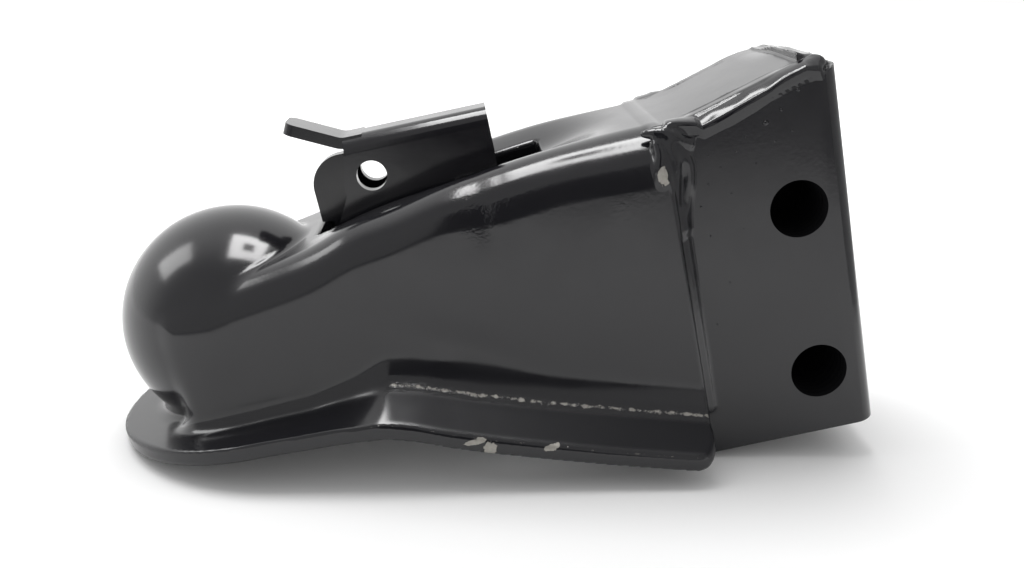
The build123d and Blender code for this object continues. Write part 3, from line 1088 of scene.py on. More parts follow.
    def hollow(self, x: np.ndarray, y: np.ndarray, z: np.ndarray) -> np.ndarray:
        """The space inside, open below, with a round throat at the front lip.

        Args:
            x: Places along the part.
            y: Places across it, without sign.
            z: Heights.

        Returns:
            Distances.
        """
        throat = math.sqrt(self.socket_radius ** 2 - self.flange_z ** 2)
        mouth = np.maximum(np.hypot(x, y) - throat, z - self.flange_z - self.throat_rise)
        return np.minimum(self.body(x, y, z, self.wall), mouth)

    def slot(self, x: np.ndarray, y: np.ndarray, z: np.ndarray) -> np.ndarray:
        """The lever's slot, cut from the top.

        Args:
            x: Places along the part.
            y: Places across it, without sign.
            z: Heights.

        Returns:
            Distances.
        """
        middle = (self.slot_low_x + self.slot_high_x) / 2.0
        length = (self.slot_high_x - self.slot_low_x) / 2.0
        plan = rounded_box(x - middle, y, length, self.slot_half, self.slot_corner)
        return np.maximum(plan, self.slot_floor_z - z)

    def ramp(self, x: np.ndarray, across: np.ndarray, z: np.ndarray) -> np.ndarray:
        """The tab that runs on from the channel's top and is bent up.

        Args:
            x: Places along the part.
            across: Places across it, with sign.
            z: Heights.

        Returns:
            Distances.
        """
        y = np.abs(across)
        drop = self.ramp_drop * smooth_step(*self.drop_along, x) * smooth_step(*self.drop_across, across)
        above = (z - (self.ramp_top(x) - drop)) / math.hypot(1.0, self.rise)
        plate = smooth_max(above, -above - self.wall, self.edge)
        ends = np.maximum(self.rear_x - self.ramp_overlap - x, x - self.ramp_end_x)
        return smooth_max(plate, np.maximum(y - self.ramp_half, ends), self.edge)

    def distance(self, points: np.ndarray) -> np.ndarray:
        """The whole pressing's field.

        Args:
            points: Places in millimetres.

        Returns:
            Distances, negative in the steel.
        """
        x, y, z = points[:, 0], np.abs(points[:, 1]), points[:, 2]
        foot, _, _ = self.flange_top(x, y)
        body = np.maximum(self.body(x, y, z, 0.0) + self.dents(points), foot - self.wall / 2.0 - z)
        form = smooth_min(body, self.flange(x, y, z), self.foot_round)
        form = smooth_max(form, -self.hollow(x, y, z), self.mouth_edge)
        form = smooth_max(form, x - self.rear_x, self.edge)
        form = smooth_max(form, -self.slot(x, y, z), self.edge)
        return smooth_min(form, self.ramp(x, points[:, 1], z), self.edge)

    def build(self, finish: bpy.types.Material) -> bpy.types.Object:
        """Make the pressing's mesh and dress it.

        Args:
            finish: Its enamel.

        Returns:
            The piece.
        """
        net = SurfaceNet(low=(-44.5, -52.0, -64.0), high=(184.0, 52.0, 50.0), step=1.0)
        mesh = net.mesh("coupler_shell_skin", self.distance)
        ShellWearAndHighlight(self).mark(mesh)
        return place("coupler_shell_skin", mesh, finish, Body.HEAD, ["coupler_shell"])


@dataclass(frozen=True)
class ShellWearAndHighlight:
    """Where the pressing's enamel is rubbed, dull or rough, and where a highlight is painted along the
    flange's foot. Sizes in millimetres, levels up to 1.
    """

    shell: CouplerShell
    slot_level: float = 0.9
    slot_width: float = 0.9
    slot_depth: float = 1.1
    rim_level: float = 0.68
    rim_inset: float = 0.4
    rim_width: float = 0.8
    rim_depth: float = 0.9
    flare_span: Pair = (43.0, 47.0)
    flare_depth: float = 2.5
    # Painted highlight: a band of bare steel specks along the flange's foot, with its level, its place out
    # from the wall and its width.
    highlight_level: float = 0.9
    highlight_out: float = 3.9
    highlight_width: float = 1.0
    dull_start: Pair = (4.5, 6.5)
    dull_end: Pair = (2.2, 0.8)
    rough_out: float = 3.7
    rough_width: float = 1.7
    rough_spots: tuple[Spot, ...] = (Spot(80.0, 26.0, 5.0, 7.0), Spot(95.0, 25.0, 12.0, 3.5, 0.6),
                                     Spot(85.0, -19.0, 2.2, 4.0, 0.7))
    rough_span: Pair = (20.0, 28.0)

    def mark(self, mesh: bpy.types.Mesh) -> None:
        """Mark the edges that are rubbed in use, the band along the flange's foot where a highlight is
        painted as bare steel specks, and the places where the enamel dried dull or rough.

        Args:
            mesh: The pressing's mesh.
        """
        places = np.empty(len(mesh.vertices) * 3, dtype=np.float32)
        mesh.vertices.foreach_get("co", places)
        points = places.reshape(-1, 3).astype(float) / MILLIMETRE
        x, y, z = points[:, 0], np.abs(points[:, 1]), points[:, 2]
        shell = self.shell
        height, _ = shell.top(x, y)
        _, face, _ = shell.flange_top(x, y)
        slot = hump(shell.slot(x, y, z), self.slot_width) * hump(z - height, self.slot_depth)
        rim = hump(y - shell.flange_half + self.rim_inset, self.rim_width) * hump(z - face, self.rim_depth)
        upper = smooth_step(*self.flare_span, x) * hump(z - face, self.flare_depth)
        # Painted highlight: a thin band on the flare's face along the foot, which the mask paints in bare
        # steel specks.
        line = upper * hump(y - shell.half - self.highlight_out, self.highlight_width)
        rubbed = np.maximum(self.slot_level * slot, self.rim_level * rim)
        self.write(mesh, "rub_and_highlight", np.maximum(rubbed, self.highlight_level * line))
        rising = smooth_step(*(shell.half + out for out in self.dull_start), y)
        falling = 1.0 - smooth_step(*(shell.flange_half - inset for inset in self.dull_end), y)
        self.write(mesh, "dull", upper * falling * rising)
        along = upper * hump(y - shell.half - self.rough_out, self.rough_width)
        spots = np.max([spot.at(x, z) for spot in self.rough_spots], axis=0)
        self.write(mesh, "speckle", np.maximum(along, spots * smooth_step(*self.rough_span, y)))

    def write(self, mesh: bpy.types.Mesh, name: str, values: np.ndarray) -> None:
        """Keep one value for each corner of a mesh."""
        mesh.attributes.new(name, "FLOAT", "POINT").data.foreach_set("value", values.astype(np.float32))


# Pieces that keep the solid's shape

@dataclass(frozen=True)
class EdgeWork:
    """How the edges of a cut or pressed solid are broken, in millimetres."""

    width: float = 0.5
    fold: float = 0.5
    fold_length: float = 30.0
    steps: int = 4
    angle: float = 32.0
    flat_angle: float = 0.4
    upward: float = 0.6
    sideways: float = 0.9
    merge: float = 0.002
    weight: int = 100
    reshape: Callable[[bmesh.types.BMesh], None] | None = None

    def weigh(self, form: bmesh.types.BMesh) -> None:
        """Give each sharp edge its share of the widest break: all of it on long upper folds.

        Args:
            form: The mesh at work.
        """
        layer = form.edges.layers.float.new("bevel_weight_edge")
        wide = max(self.width, self.fold)
        for edge in form.edges:
            if len(edge.link_faces) != 2 or edge.calc_face_angle(0.0) < math.radians(self.angle):
                continue
            normals = [face.normal for face in edge.link_faces]
            long = edge.calc_length() > self.fold_length * MILLIMETRE
            upper = max(n.z for n in normals) > self.upward and max(abs(n.y) for n in normals) > self.sideways
            edge[layer] = self.fold / wide if long and upper else self.width / wide

    def copy(self, node: str) -> bpy.types.Mesh:
        """A merged copy of a solid's mesh with its edges broken.

        Args:
            node: The solid's name.

        Returns:
            A new mesh.
        """
        form = bmesh.new()
        form.from_mesh(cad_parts[node].data)
        bmesh.ops.remove_doubles(form, verts=form.verts, dist=self.merge * MILLIMETRE)
        if self.reshape:
            self.reshape(form)
        flat = math.radians(self.flat_angle)
        bmesh.ops.dissolve_limit(form, angle_limit=flat, verts=form.verts, edges=form.edges)
        form.normal_update()
        self.weigh(form)
        mesh = bpy.data.meshes.new(f"{node}_edges")
        form.to_mesh(mesh)
        form.free()
        mesh.shade_smooth()
        piece = add_object(f"{node}_edges", mesh)
        bevel = piece.modifiers.new("edges", "BEVEL")
        bevel.width = max(self.width, self.fold) * MILLIMETRE
        bevel.segments = self.steps
        bevel.limit_method = "WEIGHT"
        bevel.use_clamp_overlap = True
        weigh = piece.modifiers.new("flat_faces", "WEIGHTED_NORMAL")
        weigh.mode = "FACE_AREA"
        weigh.weight = self.weight
        return modified_mesh(piece)


@dataclass(frozen=True)
class PlainPiece:
    """A piece that follows its solid, with its edges broken."""

    node: str
    body: Body
    slot: Slot
    edges: EdgeWork = EdgeWork()
    bores: tuple[Pair, ...] = ()
    bore_radius: float = 8.6

    def dress_bores(self, mesh: bpy.types.Mesh, finish: bpy.types.Material,
                    bore_finish: bpy.types.Material) -> None:
        """Give the faces inside the bores their own finish.

        Args:
            mesh: The piece's mesh.
            finish: The material of the rest.
            bore_finish: The material of the bores.
        """
        mesh.materials.append(finish)
        mesh.materials.append(bore_finish)
        for face in mesh.polygons:
            x, _, z = face.center / MILLIMETRE
            if any(math.hypot(x - bore_x, z - bore_z) < self.bore_radius for bore_x, bore_z in self.bores):
                face.material_index = 1

    def build(self, finish: bpy.types.Material,
              bore_finish: bpy.types.Material | None = None) -> bpy.types.Object:
        """Copy the solid, break its edges and dress it.

        Args:
            finish: Its material.
            bore_finish: The material inside its bores, where it has any.

        Returns:
            The piece.
        """
        mesh = self.edges.copy(self.node)
        mesh.materials.clear()
        if self.bores:
            self.dress_bores(mesh, finish, bore_finish)
        return place(f"{self.node}_skin", mesh, finish, self.body, [self.node])


# Springs, welds and spatter

class GeometryBench(NodeBench):
    """A bench on a geometry tree with its own inputs."""

    def __init__(self, name: str, inputs: Sequence[tuple[str, str, object]]) -> None:
        """Make the tree and its sockets.

        Args:
            name: The tree's name.
            inputs: Name, socket type and default of each input after the geometry.
        """
        super().__init__(bpy.data.node_groups.new(name, "GeometryNodeTree"))
        self.tree.interface.new_socket("Geometry", in_out="INPUT", socket_type="NodeSocketGeometry")
        self.keys: dict[str, str] = {}
        for label, kind, default in inputs:
            socket = self.tree.interface.new_socket(label, in_out="INPUT", socket_type=kind)
            if default is not None:
                socket.default_value = default
            self.keys[label] = socket.identifier
        self.tree.interface.new_socket("Geometry", in_out="OUTPUT", socket_type="NodeSocketGeometry")
        self.start = self.add("NodeGroupInput")
        self.end = self.add("NodeGroupOutput")

    def close(self, geometry: bpy.types.NodeSocket) -> None:
        """End the tree in realised, smooth and painted geometry.

        Args:
            geometry: What the tree made.
        """
        real = self.add("GeometryNodeRealizeInstances")
        smooth = self.add("GeometryNodeSetShadeSmooth")
        paint = self.add("GeometryNodeSetMaterial")
        self.link(geometry, real.inputs["Geometry"])
        self.link(real.outputs["Geometry"], smooth.inputs["Geometry"])
        self.link(smooth.outputs["Geometry"], paint.inputs["Geometry"])
        self.link(self.start.outputs["Material"], paint.inputs["Material"])
        self.link(paint.outputs["Geometry"], self.end.inputs["Geometry"])

    def run(self, base: bpy.types.Mesh, values: dict[str, object]) -> bpy.types.Mesh:
        """Run the tree on a base mesh.

        Args:
            base: The mesh that goes in.
            values: Inputs by name.

        Returns:
            The plain mesh that comes out.
        """
        carrier = add_object(base.name, base)
        modifier = carrier.modifiers.new(self.tree.name, "NODES")
        modifier.node_group = self.tree
        for label, value in values.items():
            modifier[self.keys[label]] = value
        return modified_mesh(carrier)


def spring_tree() -> GeometryBench:
    """A coil spring of round wire, standing on a point.

    Returns:
        The tree.
    """
    bench = GeometryBench("coil_spring", (("Radius", FLOAT, 0.006), ("Height", FLOAT, 0.008),
                                          ("Turns", FLOAT, 3.0), ("Wire", FLOAT, 0.001),
                                          ("Foot", VECTOR, ORIGIN), ("Turn", VECTOR, ORIGIN),
                                          ("Material", "NodeSocketMaterial", None)))
    coil = bench.add("GeometryNodeCurveSpiral")
    coil.inputs["Resolution"].default_value = COIL_STEPS
    for source, target in (("Turns", "Rotations"), ("Radius", "Start Radius"), ("Radius", "End Radius"),
                           ("Height", "Height")):
        bench.link(bench.start.outputs[source], coil.inputs[target])
    ring = bench.add("GeometryNodeCurvePrimitiveCircle")
    ring.inputs["Resolution"].default_value = WIRE_SIDES
    bench.link(bench.start.outputs["Wire"], ring.inputs["Radius"])
    wire = bench.add("GeometryNodeCurveToMesh")
    bench.link(coil.outputs["Curve"], wire.inputs["Curve"])
    bench.link(ring.outputs["Curve"], wire.inputs["Profile Curve"])
    wire.inputs["Fill Caps"].default_value = True
    put = bench.add("GeometryNodeTransform")
    bench.link(wire.outputs["Mesh"], put.inputs["Geometry"])
    bench.link(bench.start.outputs["Foot"], put.inputs["Translation"])
    bench.link(bench.start.outputs["Turn"], put.inputs["Rotation"])
    bench.close(put.outputs["Geometry"])
    return bench


@dataclass(frozen=True)
class CoilSpring:
    """One spring: the middle radius, height, turns and half wire, in millimetres, and how it stands."""

    node: str
    body: Body
    radius: float
    height: float
    turns: float
    wire: float
    foot: Point
    turn: Point = ORIGIN

    def build(self, tree: GeometryBench, finish: bpy.types.Material) -> bpy.types.Object:
        """Run the spring's tree.

        Args:
            tree: The spring tree.
            finish: Its plating.

        Returns:
            The piece.
        """
        base = bpy.data.meshes.new(f"{self.node}_base")
        mesh = tree.run(base, {"Radius": self.radius * MILLIMETRE, "Height": self.height * MILLIMETRE,
                               "Turns": self.turns, "Wire": self.wire * MILLIMETRE,
                               "Foot": [v * MILLIMETRE for v in self.foot], "Turn": self.turn,
                               "Material": finish})
        mesh.name = f"{self.node}_coil"
        return place(f"{self.node}_coil", mesh, finish, self.body, [self.node])


def spatter_tree() -> GeometryBench:
    """Small flattened drops on given points, each with its own size.

    Returns:
        The tree.
    """
    bench = GeometryBench("weld_spatter", (("Flat", FLOAT, 0.6), ("Seed", "NodeSocketInt", 3),
                                           ("Material", "NodeSocketMaterial", None)))
    drop = bench.add("GeometryNodeMeshIcoSphere")
    drop.inputs["Radius"].default_value = 1.0
    drop.inputs["Subdivisions"].default_value = 3
    size = bench.add("GeometryNodeInputNamedAttribute", data_type="FLOAT")
    size.inputs["Name"].default_value = "drop"
    squeeze = bench.add("FunctionNodeRandomValue", data_type="FLOAT")
    floats = [socket for socket in squeeze.inputs if socket.name in ("Min", "Max") and socket.type == "VALUE"]
    for socket, value in zip(floats, DROP_STRETCH):
        socket.default_value = value
    bench.link(bench.start.outputs["Seed"], squeeze.inputs["Seed"])
    result = [socket for socket in squeeze.outputs if socket.type == "VALUE"][0]
    long_way = bench.math("MULTIPLY", size.outputs["Attribute"], result)
    flat_way = bench.math("MULTIPLY", size.outputs["Attribute"], bench.start.outputs["Flat"])
    scale = bench.add("ShaderNodeCombineXYZ")
    bench.link(long_way, scale.inputs["X"])
    bench.link(flat_way, scale.inputs["Y"])
    bench.link(size.outputs["Attribute"], scale.inputs["Z"])
    put = bench.add("GeometryNodeInstanceOnPoints")
    bench.link(bench.start.outputs["Geometry"], put.inputs["Points"])
    bench.link(drop.outputs["Mesh"], put.inputs["Instance"])
    bench.link(scale.outputs["Vector"], put.inputs["Scale"])
    bench.close(put.outputs["Instances"])
    return bench


def point_mesh(name: str, points: Sequence[Point], sizes: Sequence[float], label: str) -> bpy.types.Mesh:
    """A mesh of loose points with a size on each.

    Args:
        name: The mesh's name.
        points: Places in millimetres.
        sizes: Sizes in millimetres.
        label: The attribute's name.

    Returns:
        The mesh, in metres.
    """
    mesh = bpy.data.meshes.new(name)
    mesh.from_pydata([[v * MILLIMETRE for v in point] for point in points], [], [])
    values = mesh.attributes.new(label, "FLOAT", "POINT")
    values.data.foreach_set("value", [v * MILLIMETRE for v in sizes])
    return mesh


@dataclass(frozen=True)
class BracketForm:
    """The folded bracket as the welds meet it: two walls and a web, cut off under the ramp."""

    front_x: float = 128.0
    rear_x: float = 186.1
    half: float = 29.8
    corner: float = 6.0
    solid_corner: float = 10.0
    bores: tuple[Pair, ...] = ((170.4, 5.4), (170.4, -45.4))
    bore_rim: float = 9.0
    wall: float = 4.76
    low_z: float = -65.0
    seat_low_z: float = 31.34
    seat_drop: float = 5.04
    open_length: float = 20.0
    slack: float = 0.01

    def tighten(self, form: bmesh.types.BMesh) -> None:
        """Turn the folds of a copy of the solid on the smaller radius that the part shows.

        Args:
            form: The copy, in metres.
        """
        easing = self.solid_corner - self.corner
        old_x, old_y = self.rear_x - self.solid_corner, self.half - self.solid_corner
        for vertex in form.verts:
            x, y, z = vertex.co / MILLIMETRE
            side = 1.0 if y > 0.0 else -1.0
            along, out = x - old_x, abs(y) - old_y
            if min(along, out) < -self.slack:
                continue
            reach = math.hypot(along, out)
            if any(math.hypot(x - bore_x, z - bore_z) < self.bore_rim for bore_x, bore_z in self.bores):
                vertex.co.y = side * (old_y + reach) * MILLIMETRE
                continue
            turn = math.atan2(out, along)
            vertex.co.x = (old_x + easing + (reach - easing) * math.cos(turn)) * MILLIMETRE
            vertex.co.y = side * (old_y + easing + (reach - easing) * math.sin(turn)) * MILLIMETRE

    def plan(self, x: np.ndarray, y: np.ndarray, inset: float) -> np.ndarray:
        """Distance in plan to the outline, or to the space inside."""
        middle = (self.front_x + self.rear_x) / 2.0
        reach = (self.rear_x - self.front_x) / 2.0
        return rounded_box(x - middle, y, reach - inset, self.half - inset, self.corner - inset)

    def seat(self, x: np.ndarray, shell: CouplerShell) -> np.ndarray:
        """Height of the walls' upper edges."""
        ramp = shell.top_z + (x - shell.ramp_start_x) * shell.rise
        return np.maximum(ramp - self.seat_drop, self.seat_low_z)

    def distance(self, points: np.ndarray, shell: CouplerShell) -> np.ndarray:
        """The bracket's field.

        Args:
            points: Places in millimetres.
            shell: The pressing that it is cut to.

        Returns:
            Distances.
        """
        x, y, z = points[:, 0], points[:, 1], points[:, 2]
        ahead = x < self.front_x + self.open_length
        inner = np.where(ahead, np.abs(y) - self.half + self.wall, self.plan(x, y, self.wall))
        form = np.maximum(self.plan(x, y, 0.0), -inner)
        above = (z - self.seat(x, shell)) / math.hypot(1.0, shell.rise)
        return np.maximum(form, np.maximum(above, self.low_z - z))

    def joined(self, points: np.ndarray, shell: CouplerShell) -> np.ndarray:
        """The field of the bracket and the pressing together."""
        return np.minimum(shell.distance(points), self.distance(points, shell))


@dataclass(frozen=True)
class WeldRun:
    """The weld of one side: the band that closes the ramp, its runs, and the seam down the edge."""

    shell: CouplerShell
    bracket: BracketForm
    side: Side
    seed: int
    lip_y: float = 30.6
    inner_y: float = 22.0
    lip: tuple[Pair, ...] = (
        (135.0, 37.4), (140.7, 36.4), (144.8, 35.2), (146.6, 33.6), (152.3, 35.3), (159.0, 37.6),
        (165.2, 39.7), (170.3, 42.1), (176.8, 44.1), (181.9, 42.6))
    beads: tuple[tuple[Knot, ...], ...] = (
        ((130.6, 29.4, 35.6, 1.0), (133.4, 29.9, 35.2, 1.8), (136.4, 30.0, 34.0, 2.3),
         (139.4, 30.0, 32.4, 2.2), (142.0, 29.6, 30.6, 1.6)),
        ((133.4, 31.6, 32.4, 1.5), (133.6, 32.8, 29.6, 1.5), (132.9, 33.5, 26.4, 1.4),
         (132.5, 33.9, 21.8, 0.9)),
        ((136.3, 30.9, 31.0, 2.2), (136.9, 31.3, 26.0, 2.2), (136.2, 31.3, 20.6, 2.0),
         (135.9, 31.3, 14.6, 1.8), (136.2, 31.1, 7.0, 1.6)),
        ((139.0, 29.9, 29.6, 2.0), (140.6, 29.6, 25.0, 1.9), (140.3, 29.5, 20.6, 1.9),
         (138.6, 29.8, 14.6, 1.8), (136.9, 30.2, 7.4, 1.7)),
        ((136.4, 30.2, 12.0, 2.0), (136.4, 29.8, -49.4, 1.6)),
    )
    lump: tuple[Knot, ...] = ((179.6, 26.4, 43.6, 2.5), (181.2, 25.8, 43.9, 2.6))
    droop: float = 0.0
    droop_span: Pair = (164.0, 182.0)
    under_ramp: float = 0.15
    far_fall: float = 1.0
    belly: float = 1.2
    belly_y: float = 27.2
    belly_half: float = 5.0
    face_slope: float = 0.2
    face_round: float = 1.2
    lip_depth: float = 2.8
    under_slope: float = 0.8
    under_round: float = 1.4
    end_low_x: float = 136.5
    end_high_x: float = 181.8
    end_round: float = 2.0
    start_y: float = 21.0
    bead_blend: float = 1.8
    calm: float = 0.3
    calm_span: Pair = (-4.0, 16.0)
    coarse: Pair = (0.20, 5.2)
    fine: Pair = (0.05, 2.3)
    fine_shift: float = 50.0
    runs_end: Pair = (141.0, 147.0)
    runs_top: Pair = (31.0, 35.0)
    blend: float = 2.4
    least_blend: float = 0.25
    sink: float = 0.12
    least_sink: float = 0.8
    reach: float = 2.5
    net_y: Pair = (17.0, 38.5)

    def band(self, x: np.ndarray, y: np.ndarray, z: np.ndarray) -> np.ndarray:
        """The sloping band between the ramp's edge and the wall.

        Args:
            x: Places along the part.
            y: Places outwards.
            z: Heights.

        Returns:
            Distances.
        """
        sunk = self.droop * smooth_step(*self.droop_span, x)
        lip = np.interp(x, *zip(*self.lip)) - sunk
        top = self.shell.ramp_top(x) - self.under_ramp - sunk
        if self.side is Side.RIGHT:
            lip = np.minimum(lip, top - self.far_fall)
        upper = sloping_face(y - self.inner_y, z - top, top - lip, self.lip_y - self.inner_y)
        upper = upper - self.belly * arch(y - self.belly_y, self.belly_half)
        form = smooth_max(upper, y - self.lip_y - self.face_slope * (z - lip), self.face_round)
        under = lip - self.lip_depth - z + self.under_slope * (y - self.lip_y)
        form = smooth_max(form, under, self.under_round)
        ends = np.maximum(self.end_low_x - x, x - self.end_high_x)
        return np.maximum(smooth_max(form, ends, self.end_round), self.start_y - y)

    def distance(self, points: np.ndarray) -> np.ndarray:
        """The weld's field, faired into what it joins.

        Args:
            points: Places in millimetres.

        Returns:
            Distances.
        """
        local = points * np.array([1.0, float(self.side.value), 1.0])
        lumps = Lumps(self.seed)
        raw = self.band(local[:, 0], local[:, 1], local[:, 2])
        for bead in self.beads + (self.lump,) if self.side is Side.LEFT else self.beads[2:]:
            raw = smooth_min(raw, tube(local, bead), self.bead_blend)
        calm = self.calm + (1.0 - self.calm) * smooth_step(*self.calm_span, local[:, 2])
        coarse = self.coarse[0] * lumps.sample(points, self.coarse[1])
        fine = self.fine[0] * lumps.sample(points + self.fine_shift, self.fine[1])
        raw = raw + calm * (coarse + fine)
        solid = self.bracket.joined(points, self.shell)
        runs = 1.0 - smooth_step(*self.runs_end, local[:, 0])
        runs = runs * (1.0 - smooth_step(*self.runs_top, local[:, 2]))
        blend = self.blend * (self.least_blend + (1.0 - self.least_blend) * runs)
        sink = self.sink * (self.least_sink + (1.0 - self.least_sink) * runs)
        return np.maximum(smooth_min(raw, solid, blend) + sink, raw - self.reach)

    def build(self, finish: bpy.types.Material) -> bpy.types.Object:
        """Make the weld's mesh.

        Args:
            finish: Its enamel.

        Returns:
            The piece.
        """
        word = self.side.name.lower()
        ends = sorted(float(self.side.value) * y for y in self.net_y)
        net = SurfaceNet(low=(126.0, ends[0], -54.0), high=(188.5, ends[1], 50.5), step=0.5)
        mesh = net.mesh(f"weld_{word}", self.distance)
        nodes = [f"side_weld_{word}", f"ramp_weld_{word}"]
        return place(f"weld_{word}", mesh, finish, Body.HEAD, nodes)


@dataclass(frozen=True)
class RearWeld:
    """The weld that rounds the ramp's end over onto the web."""

    shell: CouplerShell
    bracket: BracketForm
    seed: int = 11
    start_x: float = 179.0
    foot_z: float = 43.0
    right_drop: float = 1.9
    right_span: Pair = (-4.0, 20.0)
    left_rise: float = 0.4
    left_span: Pair = (5.0, 22.0)
    belly: float = 0.7
    belly_x: float = 182.0
    belly_half: float = 3.4
    inset: float = 0.15
    edge: float = 1.6
    half: float = 25.0
    end_round: float = 2.0
    low_z: float = 41.6
    low_x: float = 176.0
    lump: Pair = (0.09, 6.5)
    blend: float = 0.6
    sink: float = 0.05
    reach: float = 2.0

    def distance(self, points: np.ndarray) -> np.ndarray:
        """The weld's field.

        Args:
            points: Places in millimetres.

        Returns:
            Distances.
        """
        x, y, z = points[:, 0], points[:, 1], points[:, 2]
        top = self.shell.top_z + (self.start_x - self.shell.ramp_start_x) * self.shell.rise
        top = top - self.right_drop * smooth_step(*self.right_span, y)
        top = top + self.left_rise * smooth_step(*self.left_span, -y)
        width = self.bracket.rear_x - self.start_x
        upper = sloping_face(x - self.start_x, z - top, top - self.foot_z, width)
        upper = upper - self.belly * arch(x - self.belly_x, self.belly_half)
        raw = smooth_max(upper, self.bracket.plan(x, y, 0.0) + self.inset, self.edge)
        raw = smooth_max(raw, np.abs(y) - self.half, self.end_round)
        raw = np.maximum(raw, np.maximum(self.low_z - z, self.low_x - x))
        raw = raw + self.lump[0] * Lumps(self.seed).sample(points, self.lump[1])
        solid = self.bracket.joined(points, self.shell)
        return np.maximum(smooth_min(raw, solid, self.blend) + self.sink, raw - self.reach)

    def build(self, finish: bpy.types.Material) -> bpy.types.Object:
        """Make the weld's mesh.

        Args:
            finish: Its enamel.

        Returns:
            The piece.
        """
        net = SurfaceNet(low=(172.0, -29.5, 38.0), high=(189.5, 29.5, 51.5), step=0.5)
        return place("weld_rear", net.mesh("weld_rear", self.distance), finish, Body.HEAD,
                     ["ramp_weld_rear"])


@dataclass(frozen=True)
class Welds:
    """All welds that join the bracket to the pressing, and the drops round them."""

    shell: CouplerShell
    bracket: BracketForm
    mirror_x: float = 318.0
    mirror_drop: float = 3.0
    far_end_x: float = 175.0
    far_top_z: float = 28.0
    drops: tuple[Point, ...] = (
        (174.0, 38.8, 0.55), (168.7, 34.4, 0.6), (164.1, 31.7, 0.75), (150.0, 22.0, 0.3), (155.0, 25.5, 0.35),
        (146.0, 18.0, 0.3), (160.0, 21.0, 0.3), (143.0, 12.0, 0.35), (171.0, 28.0, 0.3), (166.0, 26.0, 0.28),
        (152.0, 14.0, 0.25), (147.0, 26.0, 0.3), (158.0, 29.0, 0.25), (144.5, 3.0, 0.3), (148.0, -12.0, 0.25),
        (142.6, -24.0, 0.3), (154.0, 3.0, 0.2), (163.0, 15.0, 0.22))

    def build(self, finish: bpy.types.Material) -> None:
        """Make the welds on both sides and the drops.

        Args:
            finish: Their enamel.
        """
        WeldRun(self.shell, self.bracket, Side.LEFT, 5).build(finish)
        WeldRun(self.shell, self.bracket, Side.RIGHT, 8, droop=2.2).build(finish)
        RearWeld(self.shell, self.bracket).build(finish)
        self.spatter(finish)

    def spatter(self, finish: bpy.types.Material) -> None:
        """Drops on both walls of the bracket.

        Args:
            finish: Their enamel.
        """
        near = [((x, -self.bracket.half, z), size) for x, z, size in self.drops]
        far = [((self.mirror_x - x, self.bracket.half, z - self.mirror_drop), size)
               for x, z, size in self.drops]
        spots = near + [(spot, size) for spot, size in far
                        if spot[0] < self.far_end_x and spot[2] < self.far_top_z]
        base = point_mesh("spatter_points", [spot for spot, _ in spots], [size for _, size in spots], "drop")
        mesh = spatter_tree().run(base, {"Flat": 0.7, "Seed": 4, "Material": finish})
        mesh.name = "bracket_spatter"
        place("bracket_spatter", mesh, finish, Body.HEAD)


# Studio

